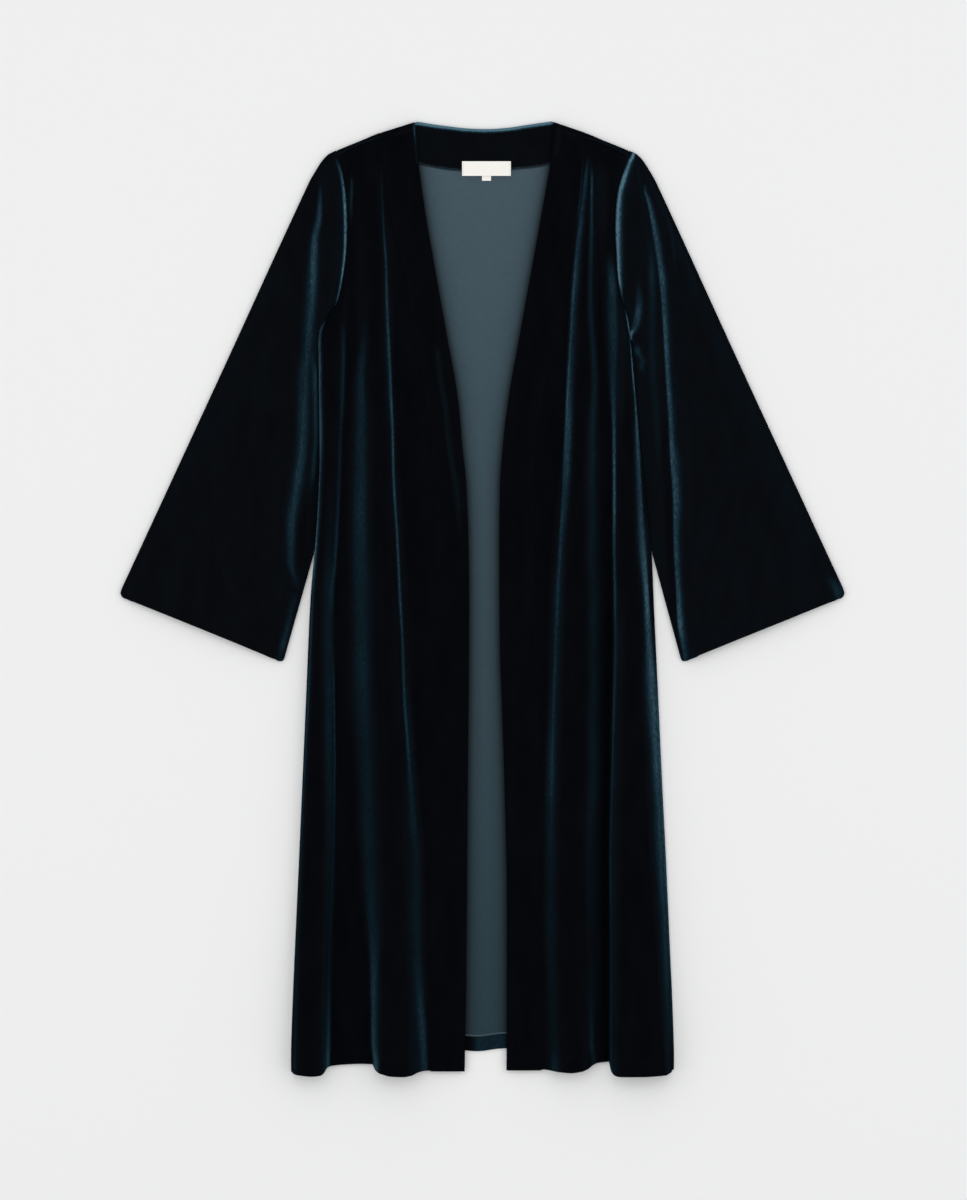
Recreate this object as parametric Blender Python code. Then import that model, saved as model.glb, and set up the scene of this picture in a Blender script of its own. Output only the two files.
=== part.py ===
"""Kimono coat in stretch velvet, laid flat on its back.

Every cloth piece is a middle surface worked out from short tables, thickened to a wall with a
Solidify modifier. Lengths in the tables are millimetres. X runs to the wearer's left, Y to the
neck and Z up, with the floor at zero and the origin under the middle of the garment.
"Right" and "left" are the wearer's.
"""

import bpy
import numpy as np

MM = 0.001

CLOTH = 1.6            # wall of the velvet
BAND_CLOTH = 3.0       # the front band is folded double
TURNUP_CLOTH = 1.2
LABEL_CLOTH = 1.0
SEAM = 0.4             # each piece stops this far short of a seam line

FLOOR_Z = CLOTH / 2    # middle of the cloth that lies on the floor
FRONT_Z = 4.4          # middle of a front panel between its folds
SHOULDER_Z = 5.0       # middle of the upper layer at shoulder, armhole and sleeve edges
BAND_Z = 5.4
NECK_Z = BAND_CLOTH / 2
FOLD_R = (SHOULDER_Z - FLOOR_Z) / 2

UNDERARM_Y = 316.0

# Plan lines: y, x
SIDE_RIGHT = (
    (-573, -229.5), (-553, -229.8), (-505, -228.6), (-409, -224.6), (-313, -220.2), (-217, -216.0),
    (-121, -211.8), (-1, -206.4), (71, -200.4), (119, -197.4), (167, -195.6), (239, -196.2),
    (316, -197.4),
)
SIDE_LEFT = (
    (-573, 229.3), (-553, 229.8), (-505, 228.6), (-409, 224.4), (-313, 220.2), (-217, 215.4),
    (-121, 211.0), (-1, 205.4), (47, 203.4), (95, 199.2), (143, 193.8), (191, 188.4),
    (239, 184.2), (316, 177.2),
)
ARMHOLE_RIGHT = (
    (316, -197.4), (326, -194.4), (335, -189.0), (343, -183.0), (353, -175.8), (365, -171.6),
    (383, -168.0), (401, -165.0), (425, -162.6), (449, -162.0), (479, -163.2), (503, -166.2),
    (521, -169.8), (540, -175.8),
)
ARMHOLE_LEFT = (
    (316, 177.2), (343, 173.4), (353, 169.8), (363, 166.8), (377, 163.8), (395, 161.4),
    (419, 160.2), (443, 159.0), (467, 159.6), (485, 161.4), (501, 165.0), (515, 169.5),
    (540, 175.8),
)
BAND_SEAM_RIGHT = (
    (-572, -62.4), (-433, -61.8), (-313, -60.6), (-121, -58.2), (47, -55.2), (107, -54.6),
    (155, -57.0), (191, -60.6), (227, -65.4), (305, -78.6), (359, -87.0), (405, -95.4),
    (437, -103.8), (467, -109.8), (503, -114.6), (575, -121.8),
)
BAND_SEAM_LEFT = (
    (-572, 70.2), (-433, 70.2), (-313, 69.0), (-193, 67.2), (-97, 65.4), (17, 62.4), (71, 59.4),
    (131, 59.4), (191, 63.0), (239, 70.2), (305, 84.6), (359, 96.6), (425, 107.4), (479, 117.6),
    (503, 120.0), (575, 121.8),
)
BAND_EDGE_RIGHT = (
    (-572, -21.6), (-457, -19.8), (-361, -19.0), (-241, -18.0), (-1, -16.2), (59, -16.8),
    (131, -19.2), (191, -25.2), (221, -27.6), (251, -31.2), (311, -42.0), (395, -57.0),
    (473, -70.2), (539, -78.6), (575, -81.0),
)
BAND_EDGE_LEFT = (
    (-572, 28.8), (-457, 29.4), (-361, 29.4), (-241, 27.0), (-145, 24.0), (-49, 21.0), (71, 20.4),
    (131, 21.0), (191, 25.2), (251, 33.0), (311, 43.8), (371, 54.6), (461, 70.8), (521, 81.0),
    (545, 84.0), (575, 85.0),
)

# Cross lines: x, y
NECK_TOP = ((-84, 572.5), (-63, 569.7), (-39, 566.1), (-15, 563.1), (5, 562.5), (27, 563.7),
            (51, 567.3), (85, 572.5))
NECK_SEAM = ((-122, 558.0), (-111, 545.0), (-93, 530.7), (-75, 524.1), (-33, 516.9), (1, 515.1),
             (33, 517.5), (69, 521.5), (93, 530.0), (111, 545.0), (122, 558.0))
SHOULDER_TOP = ((82, 573.0), (104, 566.0), (125, 559.5), (147, 551.1), (169, 542.5), (177, 538.5))
SHOULDER_SEAM = ((82, 562.0), (105, 557.0), (125, 552.0), (147, 545.0), (165, 536.7), (177, 531.0))
HEM_RIGHT = (
    (-230, -571.5), (-195, -571.5), (-189, -567.3), (-183, -560.0), (-171, -559.0), (-135, -558.0),
    (-129, -564.0), (-123, -570.0), (-105, -573.3), (-93, -573.3), (-81, -570.0), (-75, -566.2),
    (-22, -566.2),
)
HEM_LEFT = (
    (29, -565.0), (69, -565.0), (75, -563.7), (99, -568.5), (111, -568.5), (123, -565.0),
    (135, -556.5), (147, -555.3), (153, -564.0), (162, -572.0), (177, -573.3), (213, -572.0),
    (225, -569.0), (230, -568.0),
)
HEM_BACK = ((0, -540.0), (30, -540.5), (75, -549.0), (150, -560.0), (226, -566.0))

# Folds of the fronts: y, outer foot, outer crest, inner crest, inner foot, height
SIDE_ROLL_RIGHT = (
    (-573, -229, -221, -195, -182, 25), (-433, -225, -218, -191, -179, 18),
    (-313, -220, -213, -187, -176, 14), (-193, -215, -207, -188, -175, 14),
    (-73, -209, -202, -193, -178, 12), (71, -200, -195, -190, -172, 11),
    (143, -196, -191, -185, -170, 9), (287, -197, -191, -176, -163, 6),
    (335, -187, -184, -173, -161, 4), (383, -167, -165, -162, -160, 0),
    (449, -161, -160, -159, -158, 0), (540, -174, -171, -168, -165, 0),
)
CENTRE_ROLL_RIGHT = (
    (-573, -131, -121, -89, -64, 28), (-433, -136, -118, -93, -64, 22),
    (-313, -146, -116, -97, -66, 20), (-193, -153, -121, -101, -79, 18),
    (-73, -159, -123, -106, -91, 16), (71, -159, -124, -112, -99, 14),
    (143, -157, -125, -113, -103, 13), (215, -154, -128, -117, -106, 11),
    (287, -152, -133, -119, -109, 9), (359, -152, -135, -122, -111, 7),
    (431, -156, -140, -125, -115, 5.5), (479, -157, -145, -127, -118, 4),
    (540, -160, -147, -133, -125, 0),
)
INNER_ROLL_LEFT = (
    (-573, 73, 95, 115, 141, 20), (-433, 74, 92, 124, 142, 17), (-313, 73, 93, 123, 141, 15),
    (-73, 76, 100, 127, 143, 14), (71, 82, 103, 125, 143, 13), (143, 91, 105, 127, 143, 11),
    (215, 97, 110, 127, 142, 10), (359, 103, 117, 125, 139, 8), (431, 109, 122, 127, 137, 6),
    (479, 119, 125, 128, 135, 4), (540, 124, 127, 130, 134, 0),
)
SIDE_ROLL_LEFT = (
    (-573, 152, 163, 218, 227, 26), (-433, 152, 160, 208, 222, 20), (-313, 151, 159, 199, 216, 18),
    (-193, 152, 160, 193, 211, 17), (-73, 155, 163, 189, 206, 16), (71, 155, 165, 184, 195, 12),
    (143, 155, 165, 183, 190, 11), (215, 154, 165, 178, 184, 9), (287, 148, 165, 173, 178, 8),
    (335, 143, 158, 167, 171, 6), (383, 141, 152, 157, 160, 0), (449, 140, 148, 153, 156, 0),
    (540, 148, 158, 166, 172, 0),
)

# Folds of the sleeves: y, first foot, first crest, second crest, second foot, height
SLEEVE_ROLLS_RIGHT = (
    ((-75, -250, -246, -242, -240, 0), (5, -236, -226, -222, -216, 3), (59, -238, -221, -212, -204, 6),
     (119, -236, -219, -207, -199, 8), (191, -229, -205, -202, -197, 9), (311, -219, -203, -201, -197, 9),
     (359, -215, -194, -184, -173, 8), (419, -211, -193, -173, -162, 8), (485, -200, -190, -175, -163, 6),
     (530, -193, -187, -182, -173, 0)),
)
SLEEVE_ROLLS_LEFT = (
    ((-75, 239, 250, 261, 309, 6), (-1, 233, 243, 369, 417, 8), (119, 227, 241, 345, 385, 9),
     (239, 222, 237, 291, 329, 9), (359, 214, 225, 249, 274, 8), (431, 205, 214, 223, 241, 7),
     (485, 194, 202, 206, 214, 4), (530, 184, 188, 190, 194, 0)),
    ((239, 185, 191, 201, 223, 0), (311, 178, 185, 195, 218, 3), (359, 168, 177, 194, 215, 5),
     (407, 161, 170, 193, 213, 6), (455, 159, 169, 189, 205, 6), (497, 164, 173, 184, 196, 5),
     (530, 174, 178, 182, 187, 0)),
)
SLEEVE_CROWN = 5.5     # how far a sleeve's face stands above its edges

# Sleeve outlines: distance down the sleeve as a fraction, x, y
SLEEVE_OUTER = ((0.0, 176.5, 537.0), (0.018, 186.0, 533.0), (0.035, 194.0, 525.0),
                (0.06, 201.5, 512.5), (1.0, 434.0, 5.0))
CUFF_CORNER = (240.5, -74.5)

# Heights up the body where every piece that meets at the side or armhole has a row
SIDE_ROWS = (52, 105, 150, 195, 239, 275, 300, 316)
ARMHOLE_ROWS = (325, 334, 342, 353, 366, 382, 404, 428, 452, 478, 500, 516)
FRONT_ROWS = (-572, -556, -515, -465, -415, -365, -315, -265, -215, -165, -115, -60, -5,
              *SIDE_ROWS, *ARMHOLE_ROWS, 531)
BACK_ROWS = (-566, -548, -480, -390, -300, -210, -120, -5, *SIDE_ROWS, *ARMHOLE_ROWS, 537)
# Rings of a sleeve: fraction down the outer edge, y on the inner edge
SLEEVE_ROWS = ((0.0, 353), (0.012, 348), (0.03, 342), (0.055, 334), (0.085, 325), (0.12, 316),
               (0.17, 300), (0.23, 275), (0.3, 239), (0.38, 195), (0.46, 150), (0.54, 105),
               (0.62, 52), (0.7, 18), (0.79, -12), (0.89, -43), (1.0, -74.5))
SLEEVE_COLUMNS = (0.0, 0.035, 0.11, 0.2, 0.3, 0.4, 0.5, 0.59, 0.67, 0.74, 0.8, 0.86, 0.91, 0.95,
                  0.98, 1.0)

NECK_COLUMNS = (0, 20, 42, 64, 84, 100, 112)

VELVET = (0.004, 0.020, 0.028)
NECK_LABEL = (0.86, 0.86, 0.84)


def clear_scene():
    for item in list(bpy.data.objects):
        bpy.data.objects.remove(item, do_unlink=True)


def smooth(table, at, column=1):
    """A column of a table at the stations `at`, by a curve that never overshoots its rows."""
    rows = np.array(sorted(table), dtype=float)
    station = rows[:, 0]
    value = rows[:, column]
    at = np.asarray(at, dtype=float)
    secant = np.diff(value) / np.diff(station)
    slope = np.empty_like(value)
    slope[0] = secant[0]
    slope[-1] = secant[-1]
    before = secant[:-1]
    after = secant[1:]
    same_way = before * after > 0
    total = np.where(same_way, before + after, 1.0)
    slope[1:-1] = np.where(same_way, 2 * before * after / total, 0.0)
    k = np.clip(np.searchsorted(station, at) - 1, 0, len(station) - 2)
    step = station[k + 1] - station[k]
    t = np.clip((at - station[k]) / step, 0, 1)
    start = (1 + 2 * t) * (1 - t) ** 2 * value[k] + t * (1 - t) ** 2 * step * slope[k]
    end = t ** 2 * (3 - 2 * t) * value[k + 1] + t ** 2 * (t - 1) * step * slope[k + 1]
    return start + end


def ease(t):
    """Half a cosine wave from 0 to 1, level at both ends."""
    return 0.5 - 0.5 * np.cos(np.pi * np.clip(t, 0, 1))


def material(name, color, roughness):
    mat = bpy.data.materials.new(name)
    mat.use_nodes = True
    shader = mat.node_tree.nodes["Principled BSDF"]
    shader.inputs["Base Color"].default_value = (*color, 1.0)
    shader.inputs["Roughness"].default_value = roughness
    shader.inputs["Metallic"].default_value = 0.0
    return mat


def cloth(name, points, thickness, color, roughness=0.85, closed=False, mask=None):
    """One piece of cloth: a grid of middle points in rows and columns, thickened to a wall.

    closed joins the last column to the first, and mask says which squares of the grid are cloth.
    """
    rows, columns = points.shape[:2]
    across = columns if closed else columns - 1
    faces = []
    for r in range(rows - 1):
        for c in range(across):
            if mask is not None and not mask[r][c]:
                continue
            n = (c + 1) % columns
            faces.append((r * columns + c, r * columns + n,
                          (r + 1) * columns + n, (r + 1) * columns + c))
    used = sorted({i for face in faces for i in face})
    order = {old: new for new, old in enumerate(used)}
    flat = points.reshape(-1, 3)[used] * MM
    mesh = bpy.data.meshes.new(name)
    mesh.from_pydata([tuple(p) for p in flat], [], [tuple(order[i] for i in f) for f in faces])
    mesh.polygons.foreach_set("use_smooth", [True] * len(mesh.polygons))
    mesh.materials.append(material(name, color, roughness))
    item = bpy.data.objects.new(name, mesh)
    bpy.context.scene.collection.objects.link(item)
    wall = item.modifiers.new("wall", "SOLIDIFY")
    wall.thickness = thickness * MM
    wall.offset = 0.0
    wall.use_rim = True
    return item


def fold_columns(counts):
    """Column positions as (interval, fraction) for the wanted number of steps in each interval."""
    places = [(k, i / n) for k, n in enumerate(counts) for i in range(n)]
    places.append((len(counts) - 1, 1.0))
    return places


def outline(side, armhole, y):
    """The body's edge in plan: the side line up to the underarm, then the armhole.

    It is straight between the shared rows, so pieces cut along it keep an even gap.
    """
    station = np.array([*range(-600, 50, 30), *SIDE_ROWS, *ARMHOLE_ROWS, 531, 540], dtype=float)
    edge = np.where(station <= UNDERARM_Y, smooth(side, station), smooth(armhole, station))
    return np.interp(y, station, edge)


def front_ribs(y, sign, side, armhole, seam, outer_roll, inner_roll):
    """Fold lines of a front, from its outer edge to the band seam, as x and z for each row y.

    The ribs are the outer edge, the four lines of the outer fold, the four of the inner fold
    and the seam. Ribs keep at least 1.5 mm from each other, so a fold that fades stays a strip.
    """
    edge = sign * outline(side, armhole, y)
    lines = [edge]
    heights = [np.zeros_like(y)]
    for roll in (outer_roll, inner_roll):
        order = (1, 2, 3, 4) if sign * roll[0][1] > sign * roll[0][4] else (4, 3, 2, 1)
        tall = smooth(roll, y, 5)
        for column, share in zip(order, (0.0, 1.0, 0.97, 0.0)):
            lines.append(sign * smooth(roll, y, column))
            heights.append(tall * share)
    lines.append(sign * smooth(seam, y) + SEAM)
    heights.append(np.full_like(y, BAND_Z - FRONT_Z))
    x = np.array(lines)
    widths = np.maximum(x[:-1] - x[1:], 1.5)
    widths = widths * (x[0] - x[-1]) / widths.sum(axis=0)
    x = x[0] - np.concatenate([np.zeros((1,) + y.shape), np.cumsum(widths, axis=0)])
    return x, np.array(heights)


def front_panel(name, sign, side, armhole, seam, hem, outer_roll, inner_roll):
    """A front panel with its two folds, rolled under at the side seam to lie on the floor."""
    counts = (3, 3, 2, 4, 2, 4, 2, 4, 2)
    places = fold_columns(counts)
    low = np.array(FRONT_ROWS, dtype=float)
    share = (low - low[0]) / (low[-1] - low[0])
    y = np.repeat(low[:, None], len(places), axis=1)
    for _ in range(2):
        x, height = front_ribs(y, sign, side, armhole, seam, outer_roll, inner_roll)
        px = np.empty_like(y)
        pz = np.empty_like(y)
        for c, (k, f) in enumerate(places):
            bulge = 0.05 * np.sin(np.pi * f) * np.minimum(height[k, :, c], height[k + 1, :, c])
            px[:, c] = x[k, :, c] * (1 - f) + x[k + 1, :, c] * f
            pz[:, c] = height[k, :, c] + (height[k + 1, :, c] - height[k, :, c]) * ease(f) + bulge
        bottom = smooth(hem, sign * px)
        top = smooth(SHOULDER_SEAM, px) - SEAM
        y = bottom + (top - bottom) * share[:, None]
    under = ease((UNDERARM_Y + 8 - y[:, 0]) / 26)
    lift = FRONT_Z + (SHOULDER_Z - FRONT_Z) * ease((y - 480) / 40)
    pz = pz + lift
    # the outermost steps become the rolled side: flat at the armhole, round to the floor below
    wrap = ((3.2, 0.0), (1.4, 0.35), (0.0, 1.9), (0.0, 3.6))
    inset = np.array([w[0] for w in wrap])
    rise = np.array([w[1] for w in wrap])
    edge = px[:, :1] - CLOTH / 2
    flat_x = px[:, :1] - SEAM - np.array([0.0, 1.2, 2.4, 3.6])
    flat_z = np.repeat(pz[:, :1], 4, axis=1)
    side_x = flat_x + under[:, None] * (edge - inset - flat_x)
    side_z = flat_z + under[:, None] * (FLOOR_Z + rise - flat_z)
    body_x = np.minimum(px[:, 1:], side_x[:, 3:4] - 0.9 * np.arange(1, px.shape[1]))
    grid = np.stack([np.concatenate([side_x, body_x], axis=1) * sign,
                     np.concatenate([np.repeat(y[:, :1], 4, axis=1), y[:, 1:]], axis=1),
                     np.concatenate([side_z, pz[:, 1:]], axis=1)], axis=2)
    if sign > 0:
        grid = grid[:, ::-1]
    return cloth(name, grid, CLOTH, VELVET)


def back_panel():
    """The back, flat on the floor, with both shoulders rolled over to the front."""
    half = np.array([*NECK_COLUMNS, 120.6, 124.4, 136, 150, 163, 175.2])
    columns = np.concatenate([-half[:0:-1], half]) / half[-1]
    low = np.array(BACK_ROWS, dtype=float)
    share = (low - low[0]) / (low[-1] - low[0])
    right = -outline(SIDE_RIGHT, ARMHOLE_RIGHT, low)
    left = outline(SIDE_LEFT, ARMHOLE_LEFT, low)
    under = ease((UNDERARM_Y + 26 - low) / 20)
    right = right - SEAM - under * (CLOTH / 2 + 3.5)
    left = left - SEAM - under * (CLOTH / 2 + 3.5)
    x = np.where(columns < 0, right[:, None], left[:, None]) * columns
    bottom = smooth(HEM_BACK, np.abs(x))
    fold = smooth(SHOULDER_TOP, np.abs(x)) - FOLD_R - CLOTH / 2
    neck = smooth(NECK_SEAM, x) - SEAM
    top = np.where(np.abs(columns) * half[-1] < 122, neck, fold)
    y = bottom + (top - bottom) * share[:, None]
    rows = [np.stack([x, y, np.full_like(x, FLOOR_Z)], axis=2)]
    tip = min(outline(SIDE_LEFT, ARMHOLE_LEFT, 530), -outline(SIDE_RIGHT, ARMHOLE_RIGHT, 530))
    line_x = np.clip(x[-1], -tip + SEAM, tip - SEAM)
    line_y = top[-1]
    for angle in np.radians((45, 90, 135, 180)):
        reach = FOLD_R * np.sin(angle)
        level = FLOOR_Z + FOLD_R * (1 - np.cos(angle))
        rows.append(np.stack([line_x, line_y + reach, np.full_like(line_x, level)], axis=1)[None])
    end = smooth(SHOULDER_SEAM, np.abs(line_x)) + SEAM
    rows.append(np.stack([line_x, end, np.full_like(line_x, SHOULDER_Z)], axis=1)[None])
    points = np.concatenate(rows)
    shoulder = np.abs(columns) * half[-1] > 122
    both = shoulder[:-1] & shoulder[1:]
    mask = np.ones((points.shape[0] - 1, points.shape[1] - 1), dtype=bool)
    mask[len(low) - 1:] = both
    return cloth("back_panel", points, CLOTH, VELVET, mask=mask)


def roll_height(rolls, x, y):
    """Height of a sleeve's folds at plan points: each rises and falls between its four lines."""
    total = np.zeros_like(x)
    for roll in rolls:
        a = smooth(roll, y, 1)
        b = smooth(roll, y, 2)
        c = smooth(roll, y, 3)
        d = smooth(roll, y, 4)
        rise = ease((x - a) / np.maximum(b - a, 0.5))
        fall = 1 - ease((x - c) / np.maximum(d - c, 0.5))
        total = total + smooth(roll, y, 5) * rise * fall
    return total


def sleeve(name, sign, side, armhole, rolls):
    """A sleeve: a flattened tube from the armhole to the cuff, lying on the floor."""
    s = np.array(SLEEVE_ROWS)[:, 0]
    t = np.array(SLEEVE_COLUMNS)
    inset = CLOTH / 2 + FOLD_R
    outer_x = smooth(SLEEVE_OUTER, s, 1) - inset
    outer_y = smooth(SLEEVE_OUTER, s, 2) - FOLD_R * 0.4
    # the inner edge follows the armhole down to the underarm, then the body's side, then the air
    inner_y = np.array(SLEEVE_ROWS)[:, 1]
    beside = sign * outline(side, armhole, inner_y) + SEAM
    apex = SIDE_ROWS[0]
    free = np.clip((apex - inner_y) / (apex - CUFF_CORNER[1]), 0, 1)
    start = sign * outline(side, armhole, apex) + SEAM
    inner_x = np.where(inner_y >= apex, beside, start + (CUFF_CORNER[0] - start) * free) + inset
    # the first ring lies along the armhole, its points spread by length
    arm_y = np.linspace(outer_y[0], inner_y[0], 60)
    arm_x = sign * outline(side, armhole, arm_y) + SEAM + 0.2
    arm = np.concatenate([[0], np.cumsum(np.hypot(np.diff(arm_x), np.diff(arm_y)))])
    arm = arm / arm[-1]
    arm_x = arm_x + inset * ease((arm - 0.86) / 0.14)
    bow_x = np.interp(t, arm, arm_x) - (outer_x[0] + (inner_x[0] - outer_x[0]) * t)
    bow_y = np.interp(t, arm, arm_y) - (outer_y[0] + (inner_y[0] - outer_y[0]) * t)
    fade = ((1 - s) ** 4)[:, None]
    x = outer_x[:, None] * (1 - t) + inner_x[:, None] * t + bow_x * fade
    y = outer_y[:, None] * (1 - t) + inner_y[:, None] * t + bow_y * fade
    crown = SLEEVE_CROWN * np.sin(np.pi * t) ** 0.6 * ease(s / 0.35)[:, None]
    edge = ease(t / 0.05) * ease((1 - t) / 0.06)
    lift = np.maximum(crown, roll_height(rolls, x * sign, y) * ease(s / 0.03)[:, None]) * edge
    z = SHOULDER_Z + lift
    upper = np.stack([x * sign, y, z], axis=2)
    pick = [0, 2, 4, 6, 8, 10, 12, 15]
    lower = np.stack([x[:, pick] * sign, y[:, pick], np.full((len(s), len(pick)), FLOOR_Z)], axis=2)
    turns = []
    for column, way in ((-1, -1), (0, 1)):
        corner = upper[:, column, :2]
        step = upper[:, column, :2] - upper[:, column + way, :2]
        step = step / np.maximum(np.linalg.norm(step, axis=1, keepdims=True), 1e-6)
        if column == -1:
            step = np.repeat([[-sign, 0.0]], len(s), axis=0)
            free = ease((50 - y[:, -1]) / 40)[:, None]
            step = step * (1 - free) + np.array([[-sign * 0.9, -0.436]]) * free
            step = step / np.linalg.norm(step, axis=1, keepdims=True)
        else:
            step = np.repeat([[sign * 0.91, 0.415]], len(s), axis=0)
        arc = []
        for angle in np.radians((45, 90, 135)):
            if column == 0:
                angle = np.pi - angle
            plan = corner + step * FOLD_R * np.sin(angle)
            level = FLOOR_Z + FOLD_R + FOLD_R * np.cos(angle)
            arc.append(np.concatenate([plan, np.full((len(s), 1), level)], axis=1)[:, None])
        turns.append(np.concatenate(arc, axis=1))
    ring = np.concatenate([upper, turns[0], lower[:, ::-1], turns[1]], axis=1)
    if sign > 0:
        ring = ring[:, ::-1]
    return cloth(name, ring, CLOTH, VELVET, closed=True)


def front_band():
    """The band as one strip: up the right front, over the shoulder, round the neck and down."""
    w = np.linspace(0, 1, 5)
    crown = 1.6 * np.sin(np.pi * w)
    share = np.linspace(0, 1, 31)
    reach = (BAND_Z - NECK_Z) / 2
    inset = reach + BAND_CLOTH / 2

    def front(edge, seam, hem, sign):
        free_y = hem + (572.5 - inset - hem) * share
        seam_y = hem + (560.5 - inset - hem) * share
        free_x = smooth(edge, free_y)
        seam_x = smooth(seam, seam_y) - sign * SEAM
        x = free_x[:, None] * (1 - w) + seam_x[:, None] * w
        y = free_y[:, None] * (1 - w) + seam_y[:, None] * w
        fade = ease((1 - share) / 0.06)[:, None]
        return np.stack([x, y, BAND_Z + crown * fade], axis=2)

    right = front(BAND_EDGE_RIGHT, BAND_SEAM_RIGHT, -566.2, -1)
    left = front(BAND_EDGE_LEFT, BAND_SEAM_LEFT, -565.0, 1)
    half = np.array([*NECK_COLUMNS, 121.0])
    seam_x = np.concatenate([-half[:0:-1], half])
    seam_y = smooth(NECK_SEAM, seam_x) + SEAM
    run = np.concatenate([[0], np.cumsum(np.hypot(np.diff(seam_x), np.diff(seam_y)))])
    q = run / run[-1]
    seam_x[0] = right[-1, -1, 0]
    seam_x[-1] = left[-1, -1, 0]
    seam_y[0] = right[-1, -1, 1]
    seam_y[-1] = left[-1, -1, 1]
    free_x = right[-1, 0, 0] + (left[-1, 0, 0] - right[-1, 0, 0]) * q
    free_y = smooth(NECK_TOP, free_x) - BAND_CLOTH / 2
    free_y[0] = right[-1, 0, 1]
    free_y[-1] = left[-1, 0, 1]
    x = free_x[:, None] * (1 - w) + seam_x[:, None] * w
    y = free_y[:, None] * (1 - w) + seam_y[:, None] * w
    neck = np.stack([x, y, np.full_like(x, NECK_Z)], axis=2)

    def over(row, angles):
        out = np.array([np.sign(row[0, 0]) * 0.28, 0.96])
        rows = []
        for angle in np.radians(angles):
            plan = row[:, :2] + out * reach * np.sin(angle)
            level = np.full((len(row), 1), (BAND_Z + NECK_Z) / 2 + reach * np.cos(angle))
            rows.append(np.concatenate([plan, level], axis=1)[None])
        return np.concatenate(rows)

    points = np.concatenate([right, over(right[-1], (45, 90, 135)), neck,
                             over(left[-1], (135, 90, 45)), left[::-1]])
    return cloth("front_band", points, BAND_CLOTH, VELVET)


def back_hem_turnup():
    """The back's hem turned up on the inside, just above the back panel."""
    x = np.linspace(-205, 205, 19)
    bottom = smooth(HEM_BACK, np.abs(x)) + 0.6
    y = bottom + np.array([0, 0.5, 1.0])[:, None] * 18.5
    z = CLOTH + 0.3 + TURNUP_CLOTH / 2
    points = np.stack([np.repeat(x[None], 3, axis=0), y, np.full_like(y, z)], axis=2)
    return cloth("back_hem_turnup", points, TURNUP_CLOTH, VELVET)


def label():
    """The woven label over the band's lower seam and the tab below it, both blank."""
    x = np.linspace(-24.5, 34.0, 5)
    y = np.array([508.0, 516.5, 525.3])
    points = np.stack([np.repeat(x[None], 3, axis=0), np.repeat(y[:, None], 5, axis=1),
                       np.full((3, 5), BAND_CLOTH + 0.3 + LABEL_CLOTH / 2)], axis=2)
    cloth("label", points, LABEL_CLOTH, NECK_LABEL, 0.6)
    x = np.linspace(-0.6, 10.2, 3)
    y = np.array([502.0, 507.0, 513.0])
    points = np.stack([np.repeat(x[None], 3, axis=0), np.repeat(y[:, None], 3, axis=1),
                       np.full((3, 3), CLOTH + 0.3 + LABEL_CLOTH / 2)], axis=2)
    cloth("label_tab", points, LABEL_CLOTH, NECK_LABEL, 0.6)


clear_scene()
back_panel()
front_panel("front_panel_right", -1, SIDE_RIGHT, ARMHOLE_RIGHT, BAND_SEAM_RIGHT, HEM_RIGHT,
            SIDE_ROLL_RIGHT, CENTRE_ROLL_RIGHT)
front_panel("front_panel_left", 1, SIDE_LEFT, ARMHOLE_LEFT, BAND_SEAM_LEFT, HEM_LEFT,
            SIDE_ROLL_LEFT, INNER_ROLL_LEFT)
sleeve("sleeve_right", -1, SIDE_RIGHT, ARMHOLE_RIGHT, SLEEVE_ROLLS_RIGHT)
sleeve("sleeve_left", 1, SIDE_LEFT, ARMHOLE_LEFT, SLEEVE_ROLLS_LEFT)
front_band()
back_hem_turnup()
label()
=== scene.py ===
import bpy
import numpy as np
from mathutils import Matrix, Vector


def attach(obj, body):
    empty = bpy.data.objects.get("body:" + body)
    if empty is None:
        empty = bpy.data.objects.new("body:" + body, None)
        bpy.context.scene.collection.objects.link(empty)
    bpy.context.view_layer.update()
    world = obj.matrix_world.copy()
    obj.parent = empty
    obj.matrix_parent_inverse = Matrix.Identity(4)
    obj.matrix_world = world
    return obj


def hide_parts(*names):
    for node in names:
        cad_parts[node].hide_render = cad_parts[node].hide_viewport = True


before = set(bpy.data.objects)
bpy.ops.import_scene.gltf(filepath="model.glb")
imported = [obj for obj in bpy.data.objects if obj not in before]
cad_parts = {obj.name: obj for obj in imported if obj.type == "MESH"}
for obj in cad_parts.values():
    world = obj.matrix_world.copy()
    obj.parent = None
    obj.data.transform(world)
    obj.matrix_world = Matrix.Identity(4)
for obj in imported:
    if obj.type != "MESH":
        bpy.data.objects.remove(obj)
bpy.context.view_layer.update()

MM = 0.001


# Back panel.
# One piece of stretch velvet from the hem to the neck seam, pile side down on the floor. Its matte
# knitted reverse shows in the front opening. Both shoulders are rolled a little over to the front.

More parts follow.
